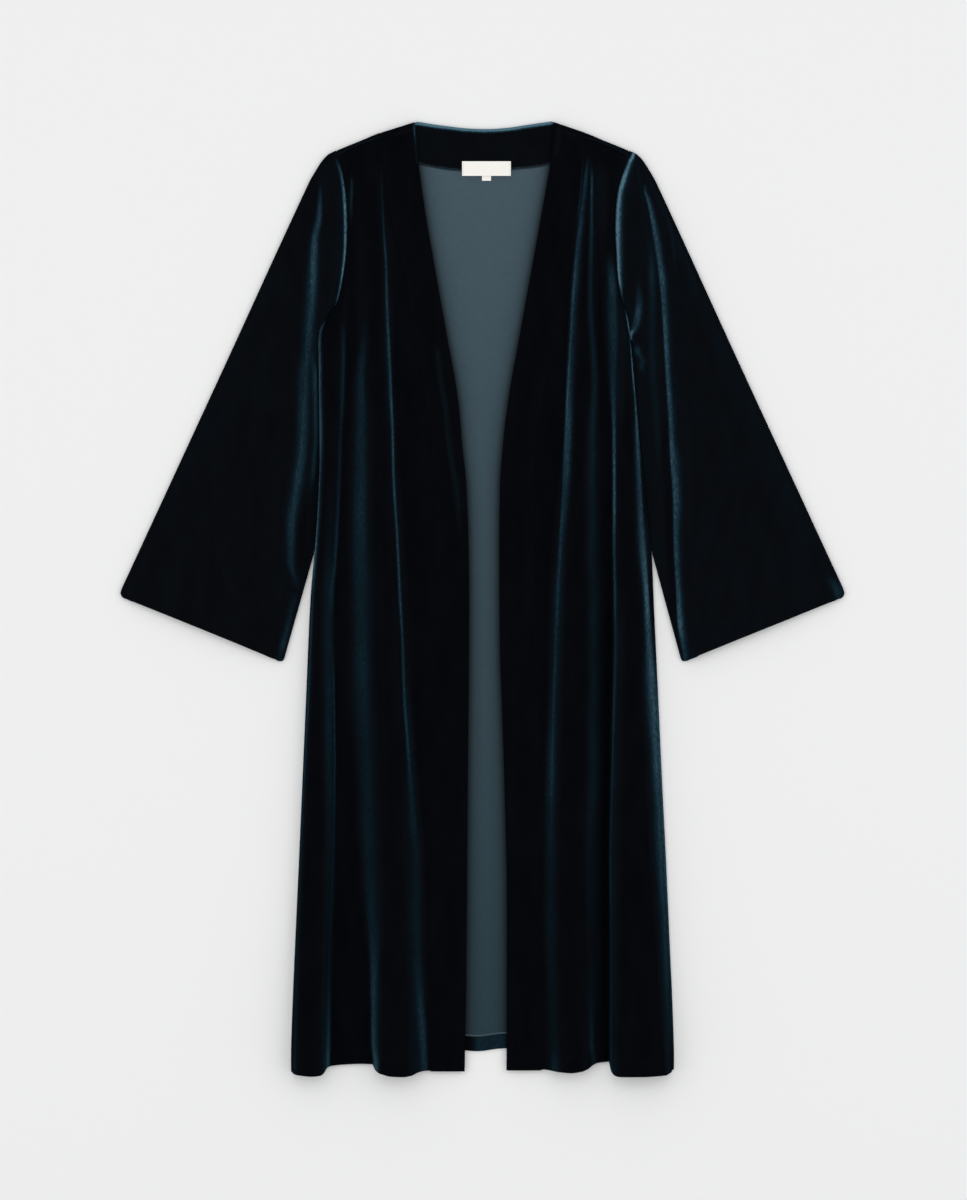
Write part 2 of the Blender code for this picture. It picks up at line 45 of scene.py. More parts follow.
SIDE_RIGHT = (
    (-573, -229.5), (-553, -229.8), (-505, -228.6), (-409, -224.6), (-313, -220.2), (-217, -216),
    (-121, -211.8), (-1, -206.4), (71, -200.4), (119, -197.4), (167, -195.6), (239, -196.2), (316, -197.4),
)
SIDE_LEFT = (
    (-573, 229.3), (-553, 229.8), (-505, 228.6), (-409, 224.4), (-313, 220.2), (-217, 215.4), (-121, 211),
    (-1, 205.4), (47, 203.4), (95, 199.2), (143, 193.8), (191, 188.4), (239, 184.2), (316, 177.2),
)
ARMHOLE_RIGHT = (
    (316, -197.4), (326, -194.4), (335, -189), (343, -183), (353, -175.8), (365, -171.6), (383, -168),
    (401, -165), (425, -162.6), (449, -162), (479, -163.2), (503, -166.2), (521, -169.8), (540, -175.8),
)
ARMHOLE_LEFT = (
    (316, 177.2), (343, 173.4), (353, 169.8), (363, 166.8), (377, 163.8), (395, 161.4), (419, 160.2),
    (443, 159), (467, 159.6), (485, 161.4), (501, 165), (515, 169.5), (540, 175.8),
)
NECK_SEAM = (
    (-122, 558), (-111, 545), (-93, 530.7), (-75, 524.1), (-33, 516.9), (1, 515.1), (33, 517.5),
    (69, 521.5), (93, 530), (111, 545), (122, 558),
)
SHOULDER_TOP = ((82, 573), (104, 565.9), (125, 558.8), (147, 549.6), (169, 540.7), (177, 537))
SHOULDER_SEAM = ((82, 562), (105, 557), (125, 552), (147, 545), (165, 536.7), (177, 531))
BAND_SEAM_RIGHT = (
    (-572, -62.4), (-433, -61.8), (-313, -60.6), (-121, -58.2), (47, -55.2), (107, -54.6), (155, -57),
    (191, -60.6), (227, -65.4), (305, -78.6), (359, -87), (405, -95.4), (437, -103.8), (467, -109.8),
    (503, -114.6), (575, -121.8),
)
BAND_SEAM_LEFT = (
    (-572, 70.2), (-433, 70.2), (-313, 69), (-193, 67.2), (-97, 65.4), (17, 62.4), (71, 59.4), (131, 59.4),
    (191, 63), (239, 70.2), (305, 84.6), (359, 96.6), (425, 107.4), (479, 117.6), (503, 120), (575, 121.8),
)
BAND_EDGE_RIGHT = (
    (-572, -21.6), (-457, -19.8), (-361, -19), (-241, -18), (-1, -16.2), (59, -16.8), (131, -19.2),
    (191, -25.2), (221, -27.6), (251, -31.2), (311, -42), (395, -57), (473, -70.2), (539, -78.6),
    (575, -81),
)
BAND_EDGE_LEFT = (
    (-572, 28.8), (-457, 29.4), (-361, 29.4), (-241, 27), (-145, 24), (-49, 21), (71, 20.4), (131, 21),
    (191, 25.2), (251, 33), (311, 43.8), (371, 54.6), (461, 70.8), (521, 81), (545, 84), (575, 85),
)
BACK_HEM = ((0, -540), (30, -540.5), (75, -547), (140, -552.5), (185, -555), (226, -560))
HEM_WAVE = ((-60, 0), (-22, -0.9), (-9, -2.1), (-3, -2.1), (9, -0.5), (17, 0.8), (28, 1.6), (60, 0))
UNDERARM = 316.0
VELVET_WALL = 1.6
FLOOR_MIDDLE = 0.8
TOP_MIDDLE = 5.0
ROLL_OVER = (TOP_MIDDLE - FLOOR_MIDDLE) / 2
SEAM_GAP = 0.12
SEAM_SINK = 0.9
NECK_END = 122.0
SHOULDER_TIP = 175.2
SIDE_TUCK = 3.4
# How far the painted highlight lines lie from the shoulder seams, in millimetres.
LIT_SEAM = 1.5


def along(rows, at, column=1):
    """A column of a table at the places `at`: cubic between rows, with each row's slope the
    harmonic mean of the slopes before and after it, or level at a turn, so it never overshoots."""
    rows = np.array(sorted(rows), dtype=float)
    place, value = rows[:, 0], rows[:, column]
    at = np.asarray(at, dtype=float)
    secant = np.diff(value) / np.diff(place)
    before, after = secant[:-1], secant[1:]
    same_way = before * after > 0
    mean = np.where(same_way, 2 * before * after / np.where(same_way, before + after, 1.0), 0.0)
    slope = np.concatenate([secant[:1], mean, secant[-1:]])
    k = np.clip(np.searchsorted(place, at) - 1, 0, len(place) - 2)
    step = place[k + 1] - place[k]
    t = np.clip((at - place[k]) / step, 0, 1)
    start = (1 + 2 * t) * (1 - t) ** 2 * value[k] + t * (1 - t) ** 2 * step * slope[k]
    end = t ** 2 * (3 - 2 * t) * value[k + 1] + t ** 2 * (t - 1) * step * slope[k + 1]
    return start + end


def ease(t):
    """Half a cosine wave from 0 to 1, level at both ends."""
    return 0.5 - 0.5 * np.cos(np.pi * np.clip(t, 0, 1))


def bell(t):
    """A bell curve: e to the power of minus t squared."""
    return np.exp(-t ** 2)


def joined(*parts):
    """Points from their coordinates, each of them one number, a row, a column or a grid."""
    return np.stack(np.broadcast_arrays(*parts), axis=-1)


def body_edge(side, armhole, y):
    """The body's edge in plan at height y: the side line up to the underarm, then the armhole."""
    return np.where(y <= UNDERARM, along(side, y), along(armhole, y))


def folds(rolls, x, y):
    """Height of the folds at (x, y). Each rises from its first line to its second and falls from
    its third to its fourth by half cosine waves, with a slightly rounded crest between them."""
    total = np.zeros_like(x)
    for roll in rolls:
        a, b, c, d, tall = (along(roll, y, column) for column in range(1, 6))
        rise = ease((x - a) / np.maximum(b - a, 0.8))
        fall = 1 - ease((x - c) / np.maximum(d - c, 0.8))
        crest = np.clip((x - b) / np.maximum(c - b, 0.8), 0, 1)
        total = total + tall * rise * fall * (1 + 0.06 * np.sin(np.pi * crest))
    return total


def painted_sheen_lines(lines, points):
    """Painted sheen along lines, each with rows as in the tables, and painted shade where a strength
    is negative. The profile across a line is e to the power of minus the distance over the width,
    to the power 2.6."""
    x, y = points[..., 0], points[..., 1]
    total = np.zeros_like(x)
    for line in lines:
        off = x - along(line, y)
        width = np.where(off < 0, along(line, y, 2), along(line, y, -2))
        total = total + along(line, y, -1) / 100 * np.exp(-np.abs(off / width) ** 2.6)
    return total


def creases(lines, x, y):
    """Sum of small ridges: each is height times a bell curve of the distance from its line."""
    total = np.zeros_like(x)
    for line in lines:
        total = total + along(line, y, 3) * bell((x - along(line, y)) / along(line, y, 2))
    return total


def run_along(points, axis=0):
    """The length from the first point to each point of a line or grid along one of its axes."""
    step = np.linalg.norm(np.diff(points, axis=axis), axis=-1)
    return np.insert(np.cumsum(step, axis=axis), 0, 0, axis=axis)


def tilt(points, closed):
    """Sine of the angle between the cloth and the floor at each point of a grid, from the cross
    product of the differences along its rows and columns."""
    if closed:
        wide = np.concatenate([points[:, -1:], points, points[:, :1]], axis=1)
        across = wide[:, 2:] - wide[:, :-2]
    else:
        across = np.gradient(points, axis=1)
    normal = np.cross(across, np.gradient(points, axis=0))
    length = np.maximum(np.linalg.norm(normal, axis=2), 1e-9)
    return np.hypot(normal[..., 0], normal[..., 1]) / length


def set_all(target, **settings):
    """Gives a modifier, node, light or camera its settings, in order."""
    for key, value in settings.items():
        setattr(target, key, value)


def add_object(name, data, **settings):
    """A new object with this data and these settings, linked to the scene."""
    added = bpy.data.objects.new(name, data)
    set_all(added, **settings)
    bpy.context.scene.collection.objects.link(added)
    return added


def squares(rows, columns, closed):
    """Row, column and four corners of each square of a grid of points; a closed one goes round."""
    r, c = np.meshgrid(np.arange(rows - 1), np.arange(columns - (not closed)), indexing="ij")
    first = r * columns + c
    second = r * columns + (c + 1) % columns
    return r, c, np.stack([first, second, second + columns, first + columns], axis=-1)


def add_mesh(name, points, faces, materials):
    """A smooth mesh object from points in millimetres."""
    mesh = bpy.data.meshes.new(name)
    mesh.from_pydata(points * MM, [], faces)
    mesh.polygons.foreach_set("use_smooth", np.ones(len(mesh.polygons), dtype=bool))
    for mat in materials:
        mesh.materials.append(mat)
    return add_object(name, mesh)


def set_values(piece, attribute, values):
    """Stores one number for each point of a piece under the attribute's name."""
    stored = piece.data.attributes.new(attribute, "FLOAT", "POINT")
    stored.data.foreach_set("value", values.astype(np.float32))


def grid_cloth(name, points, wall, outside, inside, painted_sheen=0.0, closed=False, mask=None, bevel=0.0):
    """A cloth wall on a grid of middle points in millimetres. Columns run left to right and rows
    away from the viewer of the outside. The UV map holds the cloth's own length in metres, and
    the lean attribute holds painted sheen: a sixth of the cloth's tilt plus the painted sheen
    that is given."""
    rows, columns = points.shape[:2]
    r, c, quads = squares(rows, columns, closed)
    u = run_along(points, 1) * MM
    v = run_along(points) * MM
    closing = (c + 1) % columns == 0
    u_next = np.where(closing, u[r, c] + MM, u[r, (c + 1) % columns])
    u_far = np.where(closing, u[r + 1, c] + MM, u[r + 1, (c + 1) % columns])
    uv = np.stack([np.stack([u[r, c], u_next, u_far, u[r + 1, c]], axis=-1),
                   np.stack([v[r, c], v[r, c], v[r + 1, c], v[r + 1, c]], axis=-1)], axis=-1)
    if mask is not None:
        quads = quads[mask]
        uv = uv[mask]
    used, order = np.unique(quads.reshape(-1), return_inverse=True)
    piece = add_mesh(name, points.reshape(-1, 3)[used], order.reshape(-1, 4), (outside, inside))
    piece.data.uv_layers.new(name="cloth").data.foreach_set("uv", uv.reshape(-1))
    # Painted sheen, stored for the velvet's colour ramp.
    set_values(piece, "lean", (0.16 * tilt(points, closed) + painted_sheen).reshape(-1)[used])
    set_all(piece.modifiers.new("wall", "SOLIDIFY"), thickness=wall * MM, offset=0.0,
            use_rim=True, material_offset=1)
    if bevel:
        set_all(piece.modifiers.new("soft edge", "BEVEL"), width=bevel * MM, segments=3,
                limit_method="ANGLE", angle_limit=1.1)
    return piece


def feed(mat, inputs, target="Principled BSDF"):
    """Sets inputs of a material's node, each to a value or to the output of another node."""
    for key, value in inputs.items():
        socket = mat.node_tree.nodes[target].inputs[key]
        if isinstance(value, bpy.types.NodeSocket):
            mat.node_tree.links.new(value, socket)
        else:
            socket.default_value = value


def new_material(name, inputs):
    """A material whose shader has these inputs, and the place of each point in metres."""
    mat = bpy.data.materials.new(name)
    mat.use_nodes = True
    feed(mat, inputs)
    return mat, add_node(mat, "TexCoord", {}, "Object")


def add_node(mat, kind, inputs, output="Fac", **settings):
    """Adds a shader node with its inputs and settings, and gives its output of that name."""
    added = mat.node_tree.nodes.new("ShaderNode" + kind)
    set_all(added, **settings)
    feed(mat, inputs, added.name)
    return added.outputs[output]


def add_ramp(mat, fac, stops):
    """The colour that fac picks from a ramp. Each stop is a place from 0 to 1 and a colour."""
    picked = add_node(mat, "ValToRGB", {"Fac": fac}, "Color")
    elements = picked.node.color_ramp.elements
    elements[0].color = (*stops[0][1], 1)
    elements[1].color = (*stops[-1][1], 1)
    for place, tone in stops[1:-1]:
        elements.new(place).color = (*tone, 1)
    return picked


def add_range(mat, value, low, high, to_low, to_high):
    """Maps a value from one range to another in a straight line."""
    return add_node(mat, "MapRange", {"Value": value, "From Min": low, "From Max": high,
                                      "To Min": to_low, "To Max": to_high}, "Result")


def add_bump(mat, height, strength, depth, **more):
    """A bump from a height between 0 and 1, its depth in metres."""
    return add_node(mat, "Bump", {"Height": height, "Strength": strength, "Distance": depth,
                                  **more}, "Normal")


def velvet(name):
    """Stretch velvet: an almost black pile whose sheen is painted into its colour. The ramp goes
    from black to a pale teal with the lean attribute, painted sheen, which is mottled by short
    streaks along the cloth."""
    mat, where = new_material(name, {
        "Roughness": 0.8, "Specular IOR Level": 0.0, "Sheen Weight": 0.03, "Sheen Roughness": 0.25,
        "Sheen Tint": (0.25, 0.75, 0.95, 1)})
    stretch = add_node(mat, "Mapping", {"Vector": where, "Scale": (1.0, 0.35, 1.0)}, "Vector")
    tufts = add_node(mat, "TexNoise", {"Vector": stretch, "Scale": 620, "Detail": 3})
    patches = add_node(mat, "TexNoise", {"Vector": stretch, "Scale": 60, "Detail": 4})
    # Painted sheen: the lean attribute, with streaks and patches of noise, picks the colour from the ramp,
    # from black up to a pale teal.
    lean = add_node(mat, "Attribute", {}, attribute_name="lean")
    gain = add_range(mat, tufts, 0.25, 0.75, 0.80, 1.20)
    uneven = add_node(mat, "Math", {0: lean, 1: gain}, "Value", operation="MULTIPLY")
    drift = add_range(mat, patches, 0.3, 0.7, 0.07, 0.14)
    total = add_node(mat, "Math", {0: uneven, 1: drift}, "Value", operation="ADD")
    colour = add_ramp(mat, total, (
        (0.00, (0.0007, 0.0011, 0.0017)), (0.07, (0.0015, 0.0019, 0.0028)),
        (0.14, (0.0021, 0.0026, 0.0036)), (0.20, (0.0028, 0.0034, 0.0045)),
        (0.28, (0.0028, 0.0044, 0.0062)), (0.40, (0.0032, 0.0070, 0.0104)),
        (0.50, (0.0043, 0.0113, 0.0168)), (0.60, (0.0069, 0.0185, 0.0275)),
        (0.70, (0.0122, 0.0310, 0.0448)), (0.82, (0.0242, 0.0551, 0.0756)),
        (0.93, (0.0476, 0.0999, 0.1329)), (1.00, (0.070, 0.140, 0.180))))
    pile = add_node(mat, "TexNoise", {"Vector": where, "Scale": 1500, "Detail": 3})
    grain = add_bump(mat, pile, 0.4, 0.0006)
    soft = add_bump(mat, tufts, 0.25, 0.0012, Normal=grain)
    feed(mat, {"Base Color": colour, "Normal": soft})
    return mat


def knitted_reverse(name, neck, hem):
    """The matte back of the velvet: a fine knit of small wales, with painted light: a little paler by
    the neck and darker towards the hem, and painted shade, by the shade attribute, where the front
    edges lie over it."""
    mat, where = new_material(name, {"Roughness": 0.9, "Specular IOR Level": 0.15})
    upwards = add_node(mat, "SeparateXYZ", {"Vector": where}, "Y")
    # Painted light: paler by the neck, darker towards the hem.
    tone = add_node(mat, "Mix", {"Factor": add_range(mat, upwards, -0.55, 0.50, 0, 1),
                                 "A": (*hem, 1), "B": (*neck, 1)}, "Result", data_type="RGBA")
    mottle = add_node(mat, "TexNoise", {"Vector": where, "Scale": 160, "Detail": 5})
    mixed = add_node(mat, "Mix", {"Factor": 1.0, "A": tone,
                                  "B": add_range(mat, mottle, 0, 1, 0.9, 1.1)},
                     "Result", data_type="RGBA", blend_type="MULTIPLY")
    # Painted shade: darker where the shade attribute is high, next to the front edges.
    shade = add_node(mat, "Attribute", {}, attribute_name="shade")
    painted_shade_tone = add_node(mat, "Mix", {"Factor": shade, "A": mixed, "B": (0.004, 0.007, 0.009, 1)},
                    "Result", data_type="RGBA")
    wales = add_node(mat, "TexWave", {"Vector": where, "Scale": 320, "Distortion": 1.2,
                                      "Detail": 1}, bands_direction="X")
    feed(mat, {"Base Color": painted_shade_tone, "Normal": add_bump(mat, wales, 0.25, 0.0003)})
    return mat


VELVET = velvet("teal_velvet")
# Painted light: the reverse is paler by the neck and darker towards the hem.
REVERSE = knitted_reverse("velvet_reverse", (0.051, 0.080, 0.098), (0.018, 0.037, 0.047))


def back_points():
    """Middle points of the back: flat on the floor up to the neck seam or shoulder, then at the
    shoulders half a circle over to the front and a short strip down to the shoulder seam."""
    half = np.concatenate([np.linspace(0, NECK_END - 0.6, 56),
                           np.linspace(NECK_END + 0.6, SHOULDER_TIP, 26)])
    share_x = np.concatenate([-half[:0:-1], half]) / half[-1]
    low = np.linspace(-566, 537, 190)
    share_y = (low - low[0]) / (low[-1] - low[0])
    under = ease((UNDERARM + 26 - low) / 20)
    tuck = SEAM_GAP + under * (VELVET_WALL / 2 + SIDE_TUCK)
    right = -body_edge(SIDE_RIGHT, ARMHOLE_RIGHT, low) - tuck
    left = body_edge(SIDE_LEFT, ARMHOLE_LEFT, low) - tuck
    x = np.where(share_x < 0, right[:, None], left[:, None]) * share_x
    bottom = along(BACK_HEM, np.abs(x)) + along(HEM_WAVE, x)
    fold = along(SHOULDER_TOP, np.abs(x)) - ROLL_OVER - VELVET_WALL / 2
    at_neck = np.abs(share_x) * half[-1] < NECK_END
    top = np.where(at_neck, along(NECK_SEAM, x) - SEAM_GAP, fold)
    y = bottom + (top - bottom) * share_y[:, None]
    turn = np.linspace(0, np.pi, 10)[1:, None]
    arc_y = top[-1] + ROLL_OVER * np.sin(turn)
    arc_z = FLOOR_MIDDLE + ROLL_OVER * (1 - np.cos(turn)) + 0 * arc_y
    end = along(SHOULDER_SEAM, np.abs(x[-1])) + SEAM_GAP
    strip_y = top[-1] + (end - top[-1]) * np.linspace(0, 1, 7)[1:, None]
    strip_z = TOP_MIDDLE - SEAM_SINK * bell((strip_y - end) / 1.6)
    over_y = np.concatenate([arc_y, strip_y])
    tip_right = along(ARMHOLE_RIGHT, over_y) + SEAM_GAP
    tip_left = along(ARMHOLE_LEFT, over_y) - SEAM_GAP
    over_x = np.clip(np.repeat(x[-1:], len(over_y), axis=0), tip_right, tip_left)
    for sign, seam, gap in ((-1, BAND_SEAM_RIGHT, 0.35), (1, BAND_SEAM_LEFT, 0.5)):
        beyond = sign * over_x - NECK_END
        over_x = np.where((beyond > 0) & (beyond < 1), along(seam, over_y) + sign * gap, over_x)
    points = np.concatenate([joined(x, y, FLOOR_MIDDLE),
                             joined(over_x, over_y, np.concatenate([arc_z, strip_z]))])
    mask = np.ones((points.shape[0] - 1, points.shape[1] - 1), dtype=bool)
    mask[len(low) - 1:] = ~at_neck[:-1] & ~at_neck[1:]
    return points[:, ::-1], mask[:, ::-1]


points, mask = back_points()
x, y, z = np.moveaxis(points, -1, 0)
# Painted highlight: a faint lighter line on the rolled-over shoulder strips, beside the shoulder seam.
lit_seam = 0.2 * bell(y - along(SHOULDER_SEAM, np.abs(x)) - LIT_SEAM) * (z > TOP_MIDDLE - 1.2)
back = grid_cloth("coat_back", points, VELVET_WALL, VELVET, REVERSE, painted_sheen=lit_seam, mask=mask)
# Painted shade on the reverse: darkest at and under the front bands' edges, fading over about 8 mm.
inward = np.minimum(x - along(BAND_EDGE_RIGHT, y), along(BAND_EDGE_LEFT, y) - x)
depth = 0.85 * np.exp(-np.maximum(inward, 0) / 8)
kept = np.zeros(points.shape[:2], dtype=bool)
for corner in (kept[:-1, :-1], kept[1:, :-1], kept[:-1, 1:], kept[1:, 1:]):
    corner |= mask
set_values(back, "shade", depth[kept])
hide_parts("back_panel")
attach(back, "root")


# Front panels.
# Each front is one piece of velvet from the shoulder seam to the hem, pile side up. It lies in
# long soft folds that open towards the hem, and it rolls under at the side to meet the back.

HEM_RIGHT = (
    (-230, -566.5), (-228.5, -568.2), (-224.8, -568.7), (-216.4, -569.9), (-204.2, -570.9), (-194.5, -570),
    (-190.9, -567.7), (-186, -561), (-180, -559.5), (-163, -557.8), (-146, -557.2), (-132, -557.8),
    (-127.2, -564.8), (-121.8, -567.4), (-109.7, -570.6), (-95.2, -571.3), (-85.4, -569.8),
    (-78.1, -566.7), (-68.5, -565.3), (-22, -566),
)
HEM_LEFT = (
    (29, -564.5), (67, -565.5), (73, -563.9), (79, -564.3), (91.3, -565.9), (105.8, -567.1), (118, -565.6),
    (125.3, -562.9), (131.3, -558.8), (136.2, -556.4), (144, -555.3), (151.8, -554.5), (155.1, -566.2),
    (159, -570.2), (166.4, -571.4), (190.7, -571.3), (214.9, -569.9), (224.6, -568), (229, -564.2),
)
# Folds: y, first foot, first crest, second crest, second foot, height
ROLLS_RIGHT = (
    ((-573, -229, -221, -195, -182, 25), (-433, -225, -218, -191, -179, 18),
     (-313, -220, -213, -187, -176, 14), (-193, -215, -207, -188, -175, 14),
     (-73, -209, -202, -193, -178, 12), (71, -200, -195, -190, -172, 11), (143, -196, -191, -185, -170, 9),
     (287, -197, -191, -176, -163, 6), (335, -187, -184, -173, -161, 4), (383, -167, -165, -162, -160, 0)),
    ((-573, -131, -121, -89, -64, 28), (-433, -136, -118, -93, -64, 22), (-313, -146, -116, -97, -66, 20),
     (-193, -153, -121, -101, -79, 18), (-73, -159, -123, -106, -91, 16), (71, -159, -124, -112, -99, 14),
     (143, -157, -125, -113, -103, 13), (215, -154, -128, -117, -106, 11),
     (287, -152, -133, -119, -109, 9), (359, -152, -135, -122, -111, 7),
     (431, -156, -140, -125, -115, 5.5), (479, -157, -145, -127, -118, 4),
     (540, -160, -147, -133, -125, 0)),
)
ROLLS_LEFT = (
    ((-573, 73, 95, 115, 141, 20), (-433, 74, 92, 124, 142, 17), (-313, 73, 93, 123, 141, 15),
     (-73, 76, 100, 127, 143, 14), (71, 82, 103, 125, 143, 13), (143, 91, 105, 127, 143, 11),
     (215, 97, 110, 127, 142, 10), (359, 103, 117, 125, 139, 8), (431, 109, 122, 127, 137, 6),
     (479, 119, 125, 128, 135, 4), (540, 124, 127, 130, 134, 0)),
    ((-573, 152, 163, 218, 227, 26), (-433, 152, 160, 208, 222, 20), (-313, 151, 159, 199, 216, 18),
     (-193, 152, 160, 193, 211, 17), (-73, 155, 163, 189, 206, 16), (71, 155, 165, 184, 195, 12),
     (143, 155, 165, 183, 190, 11), (215, 154, 165, 178, 184, 9), (287, 148, 165, 173, 178, 8),
     (335, 143, 158, 167, 171, 6), (383, 141, 152, 157, 160, 0)),
)
# Creases: y, x, width, height
CREASES_RIGHT = (
    ((191, -167, 2.6, 0), (239, -167, 2.6, 1.1), (347, -166, 2.6, 1.3), (375, -165, 2.6, 0)),
    ((455, -157, 2.4, 0), (479, -157, 2.4, 0.8), (503, -157, 2.4, 0.8), (520, -157, 2.4, 0)),
)
CREASES_LEFT = (
    ((119, 131, 3, 0), (239, 131, 3, 0.9), (431, 130, 2.5, 1.2), (503, 130, 2.5, 0.9), (530, 130, 2.5, 0)),
    ((300, 176, 3, 0), (325, 175, 3, 1.2), (350, 168, 3, 1.2), (370, 163, 3, 0)),
)
# Painted sheen lines, painted shade where the strength is negative: y, x, width to the left,
# width to the right where it differs, strength in percent
PAINTED_SHEEN_RIGHT = (
    ((-555, -185.5, 2.4, 2.4, 32), (-529, -184.8, 2.4, 2.4, 31), (-433, -184.3, 1.6, 1.6, 15),
     (-361, -181.7, 1.2, 1.2, 13), (-289, -179.2, 1.2, 1.2, 13), (-193, -177.5, 1.2, 1.2, 26),
     (-109, -178.2, 1.4, 1.4, 35), (-34, -179.5, 3.4, 2, 5), (-1, -180.4, 3.4, 2, 28),
     (56, -176.3, 3.4, 2, 35), (119, -172.6, 3.4, 2, 33), (191, -170.2, 3.4, 2, 25),
     (239, -168, 3.4, 2, 35), (317, -166.7, 3.4, 2, 28), (338, -169.2, 1.4, 1.4, 0)),
    ((-555, -187.8, 4.8, 3.6, 22), (-529, -187.8, 4.8, 3.6, 19), (-433, -186.6, 6, 4.8, 8),
     (-313, -183, 7.2, 6, 16), (-193, -183, 7.2, 5.4, 25), (-109, -183.6, 7.2, 4.8, 29),
     (-1, -185.4, 7.2, 3.6, 23), (71, -182.4, 6, 2.4, 13), (155, -177, 6, 2.4, 0)),
    ((-555, -127.7, 3.6, 4.8, 53), (-529, -131, 3.6, 6, 51), (-433, -130.2, 6, 7.2, 40),
     (-397, -131.4, 8.4, 9.6, 28), (-313, -134.4, 12, 10.8, 23), (-193, -140.4, 12, 12, 24),
     (-109, -144, 13.2, 12, 30), (-1, -145.2, 12, 12, 28), (71, -147, 12, 10.8, 37),
     (191, -145.8, 10.8, 9.6, 32), (263, -145.8, 8.4, 6, 31), (317, -141.4, 4.8, 4.8, 14),
     (353, -142.2, 4.8, 4.8, 0)),
    ((-555, -68.4, 6, 3, 36), (-529, -70.2, 6, 3.6, 36), (-421, -75.6, 9.6, 3.6, 14),
     (-313, -79.8, 7.2, 6, 13), (-241, -85.2, 3.6, 3, 11), (-169, -90.6, 2.2, 1.9, 29),
     (-121, -94.3, 1.9, 1.7, 37), (-49, -96.6, 1.9, 1.6, 32), (-1, -99.5, 1.9, 1.6, 43),
     (71, -102.8, 1.9, 1.6, 42), (155, -107.6, 1.9, 1.6, 46), (203, -108.4, 2.2, 1.7, 38),
     (263, -110.5, 3.1, 1.7, 35), (359, -115.1, 2.2, 1.7, 36), (407, -116.3, 1.9, 1.7, 33),
     (431, -118.2, 1.8, 1.7, 30), (491, -120.6, 1.6, 1.6, 21), (524, -121.4, 1.4, 1.4, 0)),
    ((-555, -75, 9.6, 4.8, 12), (-421, -79.8, 10.8, 4.8, 11), (-313, -82.2, 10.8, 9.6, 8),
     (-241, -85.8, 7.2, 8.4, 16), (-169, -89.4, 3.6, 7.2, 18), (-49, -94.2, 3.6, 7.2, 13),
     (71, -100.2, 3.6, 6, 18), (203, -107.4, 4.8, 4.8, 14), (263, -111, 6, 4.8, 16),
     (431, -115.8, 3.6, 6, 11), (479, -118.2, 3.6, 6, 0)),
    ((-555, -231, 2.4, 2.4, 20), (-313, -219, 2.4, 2.4, 26), (-193, -212.4, 2.2, 1.9, 34),
     (-121, -208.2, 2.2, 1.9, 36), (-1, -203.6, 2.2, 2.4, 40), (71, -200.3, 2.6, 3.8, 79),
     (119, -197.2, 2.6, 4.1, 66), (191, -195.5, 2.6, 4.3, 79), (263, -196.7, 2.6, 4.3, 100),
     (317, -196.2, 2.5, 3.8, 71), (330, -191.4, 2.2, 2.6, 70), (340, -188.4, 1.6, 1.6, 0)),
    ((449, -156.6, 1.9, 0), (470, -157.4, 2.2, 32), (497, -156.6, 2.2, 40), (509, -156.6, 1.9, 0)),
)
